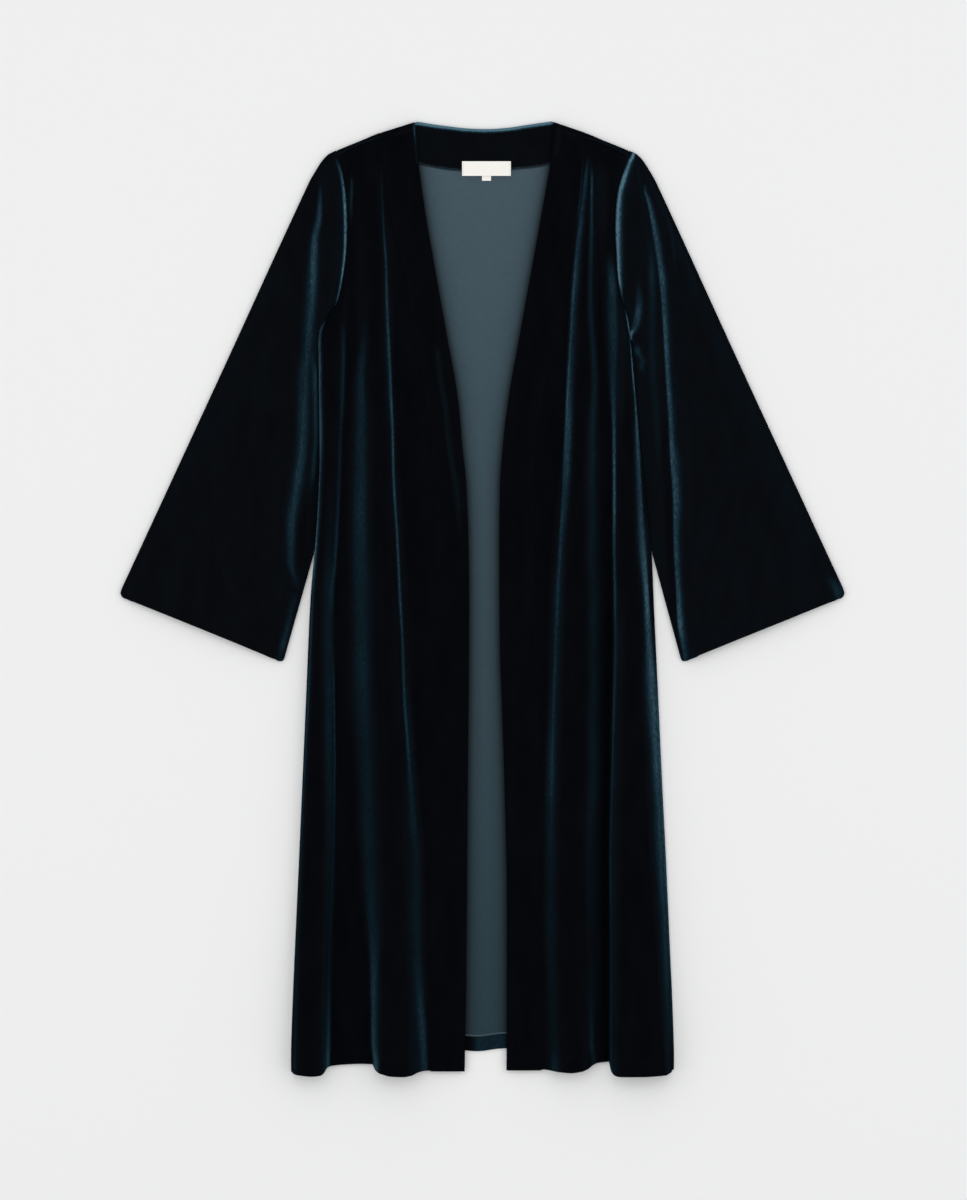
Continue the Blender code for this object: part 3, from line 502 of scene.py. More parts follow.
PAINTED_SHEEN_LEFT = (
    ((-555, 87, 4.8, 6, 27), (-529, 86.4, 5.4, 6, 14), (-433, 82.8, 7.2, 7.2, 16),
     (-313, 81.6, 8.4, 7.2, 20), (-193, 83.4, 7.2, 7.2, 31), (-121, 85.8, 6, 6.6, 23),
     (-73, 88.2, 6, 7.2, 22), (-1, 90, 5.4, 7.2, 30), (71, 94.2, 3.6, 6, 29), (119, 99.1, 3.6, 5.4, 38),
     (191, 102.5, 3.6, 5.4, 49), (263, 104.4, 3.8, 6, 41), (311, 106.8, 3.6, 6, 32),
     (359, 109.2, 3.6, 6, 38), (431, 115.4, 3, 4.8, 42), (479, 120.7, 2.4, 3.6, 43),
     (515, 124.2, 1.4, 2.4, 47), (534, 126.6, 1.2, 1.8, 0)),
    ((-313, 82.2, 1.4, 1.7, 0), (-193, 84, 1.4, 1.7, 12), (-49, 88.4, 1.4, 1.7, 14),
     (71, 94, 1.4, 1.7, 14), (191, 99.2, 1.4, 1.7, 20), (359, 108.8, 1.4, 1.7, 14),
     (443, 114, 1.2, 1.4, 0)),
    ((-555, 133.2, 3.6, 3.6, 24), (-529, 129.8, 3.6, 3.6, 29), (-433, 132, 6, 6, 7),
     (-313, 130.2, 8.4, 7.2, 15), (-193, 132.6, 7.8, 7.2, 23), (-121, 132.6, 7.2, 7.2, 19),
     (-1, 132.6, 7.2, 7.2, 20), (71, 130.8, 7.2, 7.2, 21), (191, 130.2, 6, 6, 27),
     (263, 133.6, 4.2, 4.8, 28), (359, 128.3, 3.1, 3.6, 29), (455, 130.4, 2.4, 2.4, 37),
     (503, 131, 1.8, 1.8, 51), (527, 130.2, 1.4, 1.4, 0)),
    ((-555, 154.2, 1.4, 1.7, 27), (-433, 154.2, 1.3, 1.6, 25), (-313, 153.6, 1.3, 1.6, 32),
     (-193, 156.1, 1.3, 1.7, 24), (-121, 158.2, 1.4, 1.7, 25), (-49, 159.6, 1.6, 1.8, 17),
     (-1, 159.5, 1.9, 2, 38), (71, 158.4, 2.3, 2.4, 49), (119, 158.6, 2.4, 2.4, 65),
     (191, 158.4, 2.6, 2.4, 54), (263, 157, 5.4, 3.6, 33), (311, 158.2, 8.4, 4.2, 36),
     (359, 156.6, 7.2, 4.8, 42), (383, 155.4, 6, 4.8, 50), (419, 151.8, 6, 4.8, 0)),
    ((-555, 155.4, 1.2, 7.2, 8), (-313, 155.4, 1.2, 9.6, 14), (-121, 157.8, 1.2, 10.8, 16),
     (-49, 159, 1.2, 10.8, 16), (47, 157.8, 1.2, 9.6, 0)),
    # A negative strength: painted shade in the valley beside the side roll.
    ((-555, 148.2, 5.4, 4.8, -9), (-433, 147.6, 5.4, 4.8, -9), (-313, 148.2, 5.4, 4.8, -8),
     (-193, 149.4, 5.4, 4.8, -9), (-49, 151.2, 5.4, 4.8, -8), (71, 151.2, 4.8, 3.6, -4),
     (215, 150.6, 4.8, 3.6, 0)),
    ((-555, 228, 3.6, 2.4, 10), (-529, 227.4, 6, 2.4, 24), (-433, 223.2, 8.4, 4.8, 42),
     (-385, 221.4, 8.4, 6, 46), (-313, 218.4, 10.8, 7.2, 54), (-241, 214.2, 10.2, 7.2, 56),
     (-193, 211.2, 9.6, 7.2, 58), (-121, 206.2, 10.8, 7.2, 60), (-49, 199.3, 6, 6, 52),
     (-1, 196.9, 4.8, 3.6, 67), (71, 192, 7.2, 6, 54), (119, 189.6, 6, 3.6, 51),
     (191, 185.8, 4.2, 2.4, 60), (239, 183.6, 2.6, 1.9, 63), (263, 181.2, 2.4, 1.9, 77),
     (311, 177.8, 1.7, 1.7, 100), (338, 173.4, 1.4, 1.4, 71), (352, 169.8, 1.2, 1.2, 0)),
    ((179, 163.8, 6, 0), (239, 165, 7.2, 12), (323, 167.4, 7.2, 15), (383, 165, 7.2, 0)),
    ((371, 142.2, 9.6, 9.6, 0), (413, 142.2, 10.8, 9.6, 6), (501, 142.2, 10.8, 9.6, 16),
     (527, 141, 9.6, 9.6, 0)),
)
PLAIN_HEIGHT = 4.4
BAND_HEIGHT = 5.4
HEM_TURN = 19
SIDE_BULGE = 1.9
SIDE_REACH = 1.3


def front_points(sign, side, armhole, seam, hem, rolls, lines):
    """Middle points of a front. Across, x goes evenly from the edge to the band seam and z is the
    plain height plus folds and creases; at the side the cloth turns under to the floor."""
    low = np.linspace(-571.5, 530.6, 228)
    share_y = (low - low[0]) / (low[-1] - low[0])
    across = np.linspace(0, 1, 186)
    y = np.repeat(low[:, None], len(across), axis=1)
    for _ in range(3):
        edge = sign * body_edge(side, armhole, y)
        inner = sign * along(seam, y) + SEAM_GAP
        x = edge + (inner - edge) * across
        bottom = along(hem, sign * x)
        top = along(SHOULDER_SEAM, x) - SEAM_GAP
        y = bottom + (top - bottom) * share_y[:, None]
    from_seam = x - inner
    z = PLAIN_HEIGHT + (TOP_MIDDLE - PLAIN_HEIGHT) * ease((y - 480) / 40)
    z = z + folds(rolls, sign * x, y) + creases(lines, sign * x, y)
    z = z + (BAND_HEIGHT - PLAIN_HEIGHT) * ease(1 - from_seam / 14)
    for off, depth, width in ((from_seam, 0.8, 1.5), (y - top, SEAM_SINK, 1.8),
                              (y - bottom - HEM_TURN, 0.5, 1.4)):
        z = z - depth * bell(off / width)
    turned = ease((UNDERARM + 8 - y[:, :1]) / 26)
    z = z - (1 - turned) * bell((x - edge) / 2.2)
    angle = np.linspace(np.pi, 0, 12)[:-1]
    radius = (z[:, :1] - FLOOR_MIDDLE) / 2
    under_x = edge[:, :1] - VELVET_WALL / 2 - SIDE_BULGE + SIDE_BULGE * np.sin(angle)
    under_x = under_x - SIDE_REACH * np.clip(angle / np.pi - 0.5, 0, 1) * 2
    under_z = FLOOR_MIDDLE + radius * (1 + np.cos(angle))
    flat_x = edge[:, :1] - SEAM_GAP - np.linspace(0, 2.4, 11)
    side_x = flat_x + turned * (under_x - flat_x)
    side_z = z[:, :1] + turned * (under_z - z[:, :1])
    body_x = np.minimum(x[:, 3:], side_x[:, -1:] - 0.25 * np.arange(1, len(across) - 2))
    grid = np.concatenate([joined(side_x * sign, y[:, :1], side_z),
                           joined(body_x * sign, y[:, 3:], z[:, 3:])], axis=1)
    return grid if sign < 0 else grid[:, ::-1]


for word, *cut, painted_sheen, extra_sheen in (
        ("right", -1, SIDE_RIGHT, ARMHOLE_RIGHT, BAND_SEAM_RIGHT, HEM_RIGHT, ROLLS_RIGHT,
         CREASES_RIGHT, PAINTED_SHEEN_RIGHT, 0),
        ("left", 1, SIDE_LEFT, ARMHOLE_LEFT, BAND_SEAM_LEFT, HEM_LEFT, ROLLS_LEFT, CREASES_LEFT,
         PAINTED_SHEEN_LEFT, 0.3)):
    points = front_points(*cut)
    from_seam = points[..., 0] - along(cut[3], points[..., 1])
    # Painted sheen: the listed lines, and on the left front a lighter line along the band seam.
    front = grid_cloth("coat_front_" + word, points, VELVET_WALL, VELVET, REVERSE,
                       painted_sheen=painted_sheen_lines(painted_sheen, points) + extra_sheen * bell((from_seam + 0.6) / 0.9))
    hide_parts("front_panel_" + word)
    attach(front, "root")


# Sleeves.
# Each wide straight sleeve is a tube of velvet sewn into the armhole, laid flat: a lower layer on
# the floor, an upper layer with a soft crown and the long folds that fall from the shoulder.

SLEEVE_OUTER = (
    (0, 176, 536.4), (0.018, 184.5, 532.3), (0.035, 191.9, 524.8), (0.06, 200.3, 512),
    (0.08, 205.7, 502.9), (0.1, 211, 492.1), (0.5, 311.5, 275.3), (1, 436.9, 4.3),
)
SLEEVE_INNER = (
    (0, 353), (0.012, 348), (0.03, 342), (0.055, 334), (0.085, 325), (0.12, 316), (0.17, 300), (0.23, 275),
    (0.3, 239), (0.38, 195), (0.46, 150), (0.54, 105), (0.62, 52), (0.7, 18), (0.79, -12), (0.89, -43),
    (1, -74.5),
)
APEX = 59.0
CUFF_INNER = (239.0, -75.3)
SLEEVE_CROWN = 5.5
CUFF_CORNER = 7.0
SLEEVE_LENGTH = 540
TOUCH = 0.2
UNDERARM_TOUCH = 0.4
SLEEVE_ROLLS_RIGHT = (
    ((-75, -250, -246, -242, -240, 0), (5, -236, -226, -222, -216, 3), (59, -238, -221, -212, -204, 6),
     (119, -236, -219, -207, -199, 8), (191, -229, -205, -202, -197, 9), (311, -219, -203, -201, -197, 9),
     (359, -215, -194, -184, -173, 8), (419, -211, -193, -173, -162, 8), (485, -200, -190, -175, -163, 6),
     (530, -193, -187, -182, -173, 0)),
)
SLEEVE_ROLLS_LEFT = (
    ((-75, 239, 250, 261, 309, 6), (-1, 233, 243, 369, 417, 8), (119, 227, 241, 345, 385, 9),
     (239, 222, 237, 291, 329, 9), (359, 214, 225, 249, 274, 8), (431, 205, 214, 223, 241, 7),
     (485, 194, 202, 206, 214, 4), (530, 184, 188, 190, 194, 0)),
    ((239, 185, 191, 201, 223, 0), (311, 178, 185, 195, 218, 3), (359, 168, 177, 194, 215, 5),
     (407, 161, 170, 193, 213, 6), (455, 159, 169, 189, 205, 6), (497, 164, 173, 184, 196, 5),
     (530, 174, 178, 182, 187, 0)),
)
SLEEVE_CREASES_RIGHT = (
    ((300, -204, 3, 0), (318, -199, 3, 1.2), (332, -193, 3, 1.2), (345, -186, 3, 0)),
)
SLEEVE_CREASES_LEFT = (
    ((313, 181, 3, 0), (323, 182.5, 3, 1.8), (338, 185.4, 3, 2.2), (360, 188, 3, 1.8), (380, 189, 3, 0)),
    ((275, 193, 3, 0), (285, 189, 3, 1.4), (297, 186, 3, 1.4), (306, 185, 3, 0)),
    ((395, 228, 3, 0), (407, 227, 3, 0.9), (455, 222, 3, 0.9), (470, 219, 3, 0)),
)
# Painted sheen lines on the sleeves, in the same columns as the fronts' tables; a negative strength is
# painted shade.
SLEEVE_PAINTED_SHEEN_RIGHT = (
    ((9, -222.6, 3.6, 3.6, 0), (23, -224.4, 3.6, 3.6, 20), (45, -229.9, 5.4, 4.8, 33),
     (65, -229.6, 6, 6, 38), (82, -229.6, 6.6, 6.6, 40), (118, -225, 7.8, 7.2, 36),
     (154, -219.6, 8.4, 7.8, 38), (191, -216, 7.8, 7.8, 38), (209, -215.4, 7.8, 7.8, 39),
     (263, -214.8, 7.8, 9.6, 33), (287, -211.8, 7.8, 8.4, 34), (335, -207, 7.8, 7.2, 38),
     (383, -203.4, 7.8, 6.6, 47), (431, -200.5, 6, 4.8, 42), (461, -194.5, 3.8, 2.9, 40),
     (489, -194.2, 1.9, 1.9, 22), (498, -195.5, 1.2, 1.2, 0)),
    ((131, -206.4, 3.6, 3.6, 0), (155, -202.8, 3.6, 3.6, 25), (203, -199.4, 3.6, 3.6, 34),
     (263, -200.4, 3.6, 3, 36), (299, -204, 2.4, 2.4, 0)),
    ((17, -216.6, 6, 6, 0), (47, -215.4, 7.2, 6, -8), (71, -215.4, 8.4, 7.2, -10),
     (113, -211.8, 7.2, 7.2, -8), (137, -211.8, 6, 6, 0)),
    ((342, -178.2, 2.4, 2.4, 0), (352, -174.6, 2.6, 2.4, 100), (363, -171.7, 2.9, 2.6, 94),
     (377, -168.8, 3.1, 2.9, 100), (395, -166.2, 3.4, 2.9, 93), (419, -163.9, 3.4, 2.9, 93),
     (449, -163.3, 3.4, 2.9, 89), (479, -164.5, 3.1, 2.9, 100), (503, -167.2, 2.9, 2.6, 100),
     (521, -172, 2.6, 1.8, 54), (530, -176.4, 2.4, 1.4, 0)),
    ((-68, -242.4, 4.8, 3.6, 24), (-55, -239, 4.8, 3.6, 36), (-37, -234.4, 4.8, 3.6, 30),
     (-19, -230.4, 4.8, 3.6, 24), (-1, -226.2, 4.8, 3.6, 17), (11, -223.2, 3.6, 3.6, 0)),
)
SLEEVE_PAINTED_SHEEN_LEFT = (
    ((-67, 242.2, 2.4, 4.8, 37), (-49, 238.6, 2.4, 6, 44), (-31, 235.8, 1.9, 6.6, 62),
     (-1, 234, 1.7, 6, 56), (71, 230.4, 1.7, 6, 50), (119, 229.6, 1.7, 8.4, 54),
     (162, 226.8, 1.7, 8.4, 53), (191, 225.2, 1.7, 6, 51), (215, 224.4, 1.8, 6, 51),
     (263, 221.2, 1.8, 5.4, 54), (323, 218, 1.9, 6, 57), (359, 215.6, 1.9, 6, 50),
     (383, 213.4, 1.9, 7.2, 53), (437, 206, 2.2, 6, 49), (479, 198.4, 2.4, 3.6, 48),
     (491, 194.6, 1.6, 2.4, 36), (500, 195.6, 1.2, 1.6, 0)),
    ((-49, 229.8, 3.6, 3.6, 0), (-31, 227.4, 3.6, 3.6, -5), (-1, 227.4, 4.8, 4.2, -10),
     (71, 223.8, 5.4, 4.2, -10), (119, 222.6, 4.8, 4.2, -9), (191, 218.4, 4.2, 3.6, -8),
     (239, 217.8, 3.6, 3.6, 0)),
    ((350, 169.8, 1.8, 3, 0), (363, 165, 1.8, 3.6, 63), (377, 162.1, 2.2, 5.5, 100),
     (395, 160.7, 2.2, 6.5, 95), (419, 159.7, 2.2, 7.3, 90), (449, 158.8, 2.2, 7.9, 95),
     (479, 160, 2.2, 7.4, 100), (503, 166.8, 2.4, 6.2, 100), (521, 174.4, 2.4, 5, 73),
     (533, 180.6, 2.2, 2.4, 100), (542, 183, 1.8, 1.8, 22)),
    ((309, 180.6, 2.4, 2.4, 0), (315, 176.8, 2.4, 3, 100), (326, 182.8, 3.6, 4.8, 38),
     (341, 185.8, 4.2, 5.4, 43), (359, 187.3, 3.6, 4.2, 30), (380, 187.2, 2.2, 2.4, 13),
     (389, 190.2, 1.4, 1.8, 0)),
    ((270, 195, 2.4, 2.4, 0), (276, 190.9, 3.6, 3.6, 24), (286, 191.8, 3.6, 4.8, 23),
     (298, 185.4, 3, 4.8, 36), (308, 185.4, 2.4, 3.6, 0)),
    ((143, 213, 3.6, 0), (203, 209.4, 4.2, 16), (299, 203.6, 4.8, 15), (383, 203.4, 4.8, 27),
     (443, 201, 3.6, 0)),
    ((389, 229.2, 2.4, 3, 0), (407, 229.1, 2.4, 3, 10), (449, 223.8, 2.4, 3, 6), (461, 222, 1.8, 2.4, 0)),
    ((-1, 427.8, 6, 20), (9, 426.6, 7.2, 32), (18, 421.8, 7.2, 26), (33, 413.4, 6, 0)),
)


def mix(first, second, share):
    """From first, at a share of 0, to second, at a share of 1, in a straight line."""
    return first * (1 - share) + second * share


def unit(vectors):
    """The same directions with a length of 1."""
    return vectors / np.linalg.norm(vectors, axis=1, keepdims=True)


def sleeve_points(sign, side, armhole, rolls, lines):
    """Middle points of a sleeve, ring by ring from the armhole to the cuff. A ring runs over the
    top from the outer to the inner edge, round half a circle, and back along the floor."""
    s = np.concatenate([np.linspace(0, 0.12, 34)[:-1], np.linspace(0.12, 0.9925, 105),
                        [0.9945, 0.9965, 0.998, 0.9992, 1.0]])
    t = 1 - (1 - np.linspace(0, 1, 130)) ** 1.3
    inset = VELVET_WALL / 2 + ROLL_OVER
    outer = joined(along(SLEEVE_OUTER, s, 1) - inset, along(SLEEVE_OUTER, s, 2) - ROLL_OVER * 0.4)
    inner_y = np.interp(s, *np.transpose(SLEEVE_INNER))
    touch = TOUCH + UNDERARM_TOUCH * bell((inner_y - UNDERARM) / 10)
    beside = sign * body_edge(side, armhole, inner_y) - touch
    start = sign * body_edge(side, armhole, np.array(APEX)) - TOUCH
    free = np.clip((APEX - inner_y) / (APEX - CUFF_INNER[1]), 0, 1)
    inner_x = np.where(inner_y >= APEX, beside, start + (CUFF_INNER[0] - start) * free) + inset
    inner = joined(inner_x, inner_y)
    arm_y = np.linspace(outer[0, 1], inner[0, 1], 200)
    arm_x = sign * body_edge(side, armhole, arm_y) + SEAM_GAP + 0.1
    arm = run_along(joined(arm_x, arm_y))
    arm = arm / arm[-1]
    arm_x = arm_x + (inset - touch[0] - SEAM_GAP - 0.1) * ease((arm - 0.955) / 0.045)
    corner = np.clip(1 - (1 - s) * SLEEVE_LENGTH / CUFF_CORNER, 0, 1)
    cut = CUFF_CORNER * (1 - np.sqrt(1 - corner ** 2))
    across = (inner - outer) * (cut / np.linalg.norm(inner - outer, axis=1))[:, None]
    outer, inner = outer + across, inner - across
    bow = joined(np.interp(t, arm, arm_x), np.interp(t, arm, arm_y))
    bow = bow - mix(outer[0], inner[0], t[:, None])
    plan = mix(outer[:, None], inner[:, None], t[:, None]) + bow * ((1 - s) ** 4)[:, None, None]
    x, y = plan[..., 0], plan[..., 1]
    crown = SLEEVE_CROWN * np.sin(np.pi * t) ** 0.6 * ease(s / 0.35)[:, None]
    soft = ease(t / 0.05) * ease((1 - t) / 0.06)
    lift = np.maximum(crown, folds(rolls, x * sign, y) * ease(s / 0.03)[:, None])
    z = TOP_MIDDLE + (lift + creases(lines, x * sign, y)) * soft
    z = z - SEAM_SINK * bell(s[:, None] / 0.006) * soft
    upper = joined(x * sign, y, z)
    lower = joined(upper[:, ::3, 0], upper[:, ::3, 1], FLOOR_MIDDLE)
    free = ease((50 - y[:, -1]) / 40)[:, None]
    inward = unit(mix(np.array([[-sign, 0.0]]), np.array([[-sign * 0.9, -0.436]]), free))
    aside = ease(s / 0.05)[:, None]
    outward = unit(mix(np.array([[sign * 0.3, 0.95]]), np.array([[sign * 0.91, 0.415]]), aside))
    turns = []
    for rim, way, angle in ((upper[:, -1], inward, np.linspace(0, np.pi, 10)[1:-1]),
                            (upper[:, 0], outward, np.linspace(np.pi, 0, 10)[1:-1])):
        plan = rim[:, None, :2] + way[:, None] * (ROLL_OVER * np.sin(angle))[:, None]
        level = FLOOR_MIDDLE + ROLL_OVER * (1 + np.cos(angle))
        turns.append(joined(plan[..., 0], plan[..., 1], level))
    ring = np.concatenate([upper, turns[0], lower[:, ::-1], turns[1]], axis=1)
    return ring if sign > 0 else ring[:, ::-1]


def on_top(points):
    """1 on a sleeve's upper layer, fading to nothing towards its lower layer."""
    return ease((points[..., 2] - 3.6) / 1.2)


for word, *cut, extra_sheen, painted_sheen in (
        ("right", -1, SIDE_RIGHT, ARMHOLE_RIGHT, SLEEVE_ROLLS_RIGHT, SLEEVE_CREASES_RIGHT, 0.08,
         SLEEVE_PAINTED_SHEEN_RIGHT),
        ("left", 1, SIDE_LEFT, ARMHOLE_LEFT, SLEEVE_ROLLS_LEFT, SLEEVE_CREASES_LEFT, 0.1,
         SLEEVE_PAINTED_SHEEN_LEFT)):
    points = sleeve_points(*cut)
    # Painted sheen on the upper layer only: a small even lift plus the listed lines.
    sleeve = grid_cloth("coat_sleeve_" + word, points, VELVET_WALL, VELVET, REVERSE, closed=True,
                        painted_sheen=(extra_sheen + painted_sheen_lines(painted_sheen, points)) * on_top(points))
    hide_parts("sleeve_" + word)
    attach(sleeve, "root")


# Seam allowances.
# The cut edges of the armhole seams are pressed flat inside, as narrow strips of velvet under the
# seam line between the front's layer and the back's.

ALLOWANCE_MIDDLE = 2.95
ALLOWANCE_WALL = 0.9
ALLOWANCE_HALF = 5.2


def allowance_points(line):
    """A flat strip along a line in plan, between the two layers. It narrows to a sixth at its
    upper end."""
    ahead = np.gradient(line, axis=0)
    side = unit(joined(-ahead[:, 1], ahead[:, 0]))
    narrow = 1 - 0.84 * ease((line[:, 1] - 526) / 9)
    off = narrow[:, None] * np.linspace(-ALLOWANCE_HALF, ALLOWANCE_HALF, 5)
    plan = line[:, None] + side[:, None] * off[:, :, None]
    return joined(plan[..., 0], plan[..., 1], ALLOWANCE_MIDDLE)


for word, armhole in (("right", ARMHOLE_RIGHT), ("left", ARMHOLE_LEFT)):
    y = np.linspace(344, 536.8, 70)
    points = allowance_points(joined(along(armhole, y), y))
    strip = grid_cloth("coat_armhole_allowance_" + word, points, ALLOWANCE_WALL, VELVET, REVERSE)
    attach(strip, "root")


# Front band.
# One long strip of the velvet folded double, so it is soft and thick: up the right front edge,
# over the shoulder, round the back neck and down the left front edge to the hem.

NECK_TOP = (
    (-84, 573), (-75, 572.3), (-63, 570.3), (-39, 567.1), (-15, 564.6), (5, 564), (27, 565.2), (51, 568.6),
    (69, 571.3), (85, 573.4),
)
BAND_WALL = 3.0
NECK_HEIGHT = BAND_WALL / 2
BAND_CROWN = 1.6
FOLD_TOP = 572.5
SEAM_TOP = 560.1
BAND_CREASES = (
    ((60, -27, 3, 0), (119, -32, 3, 0.7), (191, -39, 3, 0.9), (263, -50, 3, 0.8), (310, -57, 3, 0)),
)


def band_points():
    """Middle points of the band as one strip. Its columns go from the folded edge to the seam; its
    rows go up the right front, half a circle over the shoulder, round the neck, and down."""
    w = np.linspace(0, 1, 26)
    share = np.linspace(0, 1, 300)
    reach = (BAND_HEIGHT - NECK_HEIGHT) / 2
    inset = reach + BAND_WALL / 2
    crown = BAND_CROWN * np.sin(np.pi * w)

    def between(free_x, seam_x, free_y, seam_y):
        return (mix(free_x[:, None], seam_x[:, None], w), mix(free_y[:, None], seam_y[:, None], w))

    def front(edge, seam, hem, sign):
        free_y = hem + (FOLD_TOP - inset - hem) * share
        seam_y = hem + (SEAM_TOP - inset - hem) * share
        seam_x = along(seam, seam_y) - sign * SEAM_GAP
        x, y = between(along(edge, free_y), seam_x, free_y, seam_y)
        level = BAND_HEIGHT + crown * ease((1 - share) / 0.06)[:, None]
        level = level - 0.7 * bell((x - seam_x[:, None]) / 1.4)
        level = level - 0.4 * bell((y - along(SHOULDER_SEAM, np.abs(x))) / 1.2)
        return joined(x, y, level + creases(BAND_CREASES, x, y))

    right = front(BAND_EDGE_RIGHT, BAND_SEAM_RIGHT, -566.2, -1)
    left = front(BAND_EDGE_LEFT, BAND_SEAM_LEFT, -565.0, 1)
    q = np.linspace(0, 1, 90)
    seam_x = np.linspace(-1, 1, 400)
    seam_x = seam_x * np.where(seam_x < 0, -right[-1, -1, 0], left[-1, -1, 0])
    run = run_along(joined(seam_x, along(NECK_SEAM, seam_x)))
    seam_x = np.interp(q, run / run[-1], seam_x)
    seam_y = along(NECK_SEAM, seam_x) + SEAM_GAP
    free_x = right[-1, 0, 0] + (left[-1, 0, 0] - right[-1, 0, 0]) * q
    free_y = along(NECK_TOP, free_x)
    for end, shoulder in ((0, right[-1]), (-1, left[-1])):
        free_y[end], seam_y[end] = shoulder[[0, -1], 1]
    neck = joined(*between(free_x, seam_x, free_y, seam_y), NECK_HEIGHT)

    def over(row, angles):
        out = np.array([np.sign(row[0, 0]) * 0.28, 0.96])
        plan = row[None, :, :2] + out * (reach * np.sin(angles))[:, None, None]
        middle = (BAND_HEIGHT + NECK_HEIGHT) / 2
        fall = np.cos(angles)[:, None]
        level = np.where(fall > 0, middle + (row[None, :, 2] - middle) * fall, middle + reach * fall)
        return joined(plan[..., 0], plan[..., 1], level)

    turn = np.linspace(0, np.pi, 10)[1:-1]
    points = np.concatenate([right, over(right[-1], turn), neck, over(left[-1], turn[::-1]),
                             left[::-1]])
    return points[:, ::-1]


# Painted sheen lines on the front band, in the same columns as the fronts' tables.
BAND_PAINTED_SHEEN = (
    ((71, -27, 2.4, 2.4, 0), (119, -30.1, 3, 3, 18), (191, -40.7, 3, 3, 21), (227, -44.3, 2.4, 3, 19),
     (263, -50.6, 2.4, 3, 21), (293, -54.2, 2.4, 3, 18), (305, -57, 2.4, 2.4, 0)),
    ((520, -77.6, 1.3, 0), (529, -78.8, 1.3, 31), (539, -79.8, 1.3, 31), (551, -80.6, 1.3, 48),
     (560, -81.6, 1.4, 63), (572, -82, 1.4, 50)),
    ((524, 87, 3, 3, 0), (539, 89, 3.6, 3, 12), (563, 92, 3.6, 3, 16), (569, 92, 3.6, 3, 0)),
)
points = band_points()
x, y, z = np.moveaxis(points, -1, 0)
at_neck = (np.abs(x) < 84.5) & (y > 505) & (z < 2.5)
# Painted sheen: a small lift round the back neck, a lighter rim along its folded top edge, and a line
# beside the shoulder seams.
rim = (0.09 + np.exp(-np.abs((along(NECK_TOP, x) - y) / 4.2) ** 4)) * at_neck
to_seam = y - along(SHOULDER_SEAM, np.abs(x)) - LIT_SEAM
rim = rim + 0.12 * bell(to_seam / 1.2) * (z > BAND_HEIGHT - 1)
band = grid_cloth("coat_front_band", points, BAND_WALL, VELVET, VELVET, bevel=1.3,
                  painted_sheen=rim + painted_sheen_lines(BAND_PAINTED_SHEEN, points))
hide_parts("front_band")
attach(band, "root")


# Turned-up hem of the back.
# The last 17 mm of the back is turned up on the inside and sewn down, pile side up, so a strip of
# velvet shows below the matte reverse. A row of stitches runs just above it.

TURNUP_WIDTH = 16.6
TURNUP_WALL = 1.2


def back_hem(x):
    """How far up the back's hem lies at x."""
    return along(BACK_HEM, np.abs(x)) + along(HEM_WAVE, x)


def turnup_points():
    """A flat strip that follows the hem's curve, with its two long edges pressed down."""
    x = np.linspace(-205, 205, 120)
    up = np.linspace(0, 1, 14)
    y = back_hem(x) + 0.6 + up[:, None] * TURNUP_WIDTH
    return joined(x, y, 2.5 + 0.25 * np.sin(np.pi * up)[:, None])


points = turnup_points()
# Painted sheen on the turn-up: a lighter teal in the front opening, with painted shade fading to dark at
# its ends by the front bands.
inward = np.minimum(points[..., 0] + 16, 36 - points[..., 0])
turnup = grid_cloth("coat_hem_turnup", points, TURNUP_WALL, VELVET, VELVET,
                    painted_sheen=0.42 * ease(inward / 11))
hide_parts("back_hem_turnup")
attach(turnup, "root")


def thread(name, colour):
    """Spun polyester thread: a plain colour with a fine twist of a darker tone round it."""
    mat, where = new_material(name, {"Roughness": 0.7, "Specular IOR Level": 0.1})
    twist = add_node(mat, "TexWave", {"Vector": where, "Scale": 900}, bands_direction="DIAGONAL")
    tone = add_ramp(mat, twist, ((0, [c * 0.7 for c in colour]), (1, colour)))
    feed(mat, {"Base Color": tone})
    return mat


STITCH_SIDES = 6


def stitches(name, path, length, pitch, thick, mat, lean=0.0):
    """A row of stitches along a path in millimetres: at every pitch one small spindle, turned by
    lean. Its radius is the square root of a parabola along its length, cut off at a quarter."""
    run = run_along(path)
    place = np.arange(pitch / 2, run[-1], pitch)
    behind, centre, ahead = (
        np.stack([np.interp(place + step, run, path[:, i]) for i in range(3)], axis=1)
        for step in (-0.5, 0, 0.5))
    way = unit(ahead - behind)
    across = unit(np.cross(way, [0.0, 0.0, 1.0]))
    way = way * np.cos(lean) + across * np.sin(lean)
    across = unit(np.cross(way, [0.0, 0.0, 1.0]))
    up = np.cross(across, way)
    at = np.array([-1.0, -0.6, 0.0, 0.6, 1.0])
    girth = np.array([0.25, 0.8, 1.0, 0.8, 0.25]) * thick / 2
    angle = np.arange(STITCH_SIDES) * 2 * np.pi / STITCH_SIDES
    points = (centre[:, None, None] + way[:, None, None] * (at * length / 2)[None, :, None, None]
              + across[:, None, None] * (girth[:, None] * np.cos(angle))[None, :, :, None]
              + up[:, None, None] * (girth[:, None] * np.sin(angle))[None, :, :, None])
    quads = squares(len(at), STITCH_SIDES, True)[2].reshape(-1, 4)[:, ::-1]
    first = points[0, ..., 0].size * np.arange(len(centre))[:, None]
    near = first + np.arange(STITCH_SIDES)
    far = near + STITCH_SIDES * (len(at) - 1)
    quads = (quads + first[:, None]).reshape(-1, 4)
    faces = [*map(tuple, quads), *map(tuple, near), *map(tuple, far[:, ::-1])]
    piece = add_mesh(name, points.reshape(-1, 3), faces, (mat,))
    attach(piece, "root")
    return piece


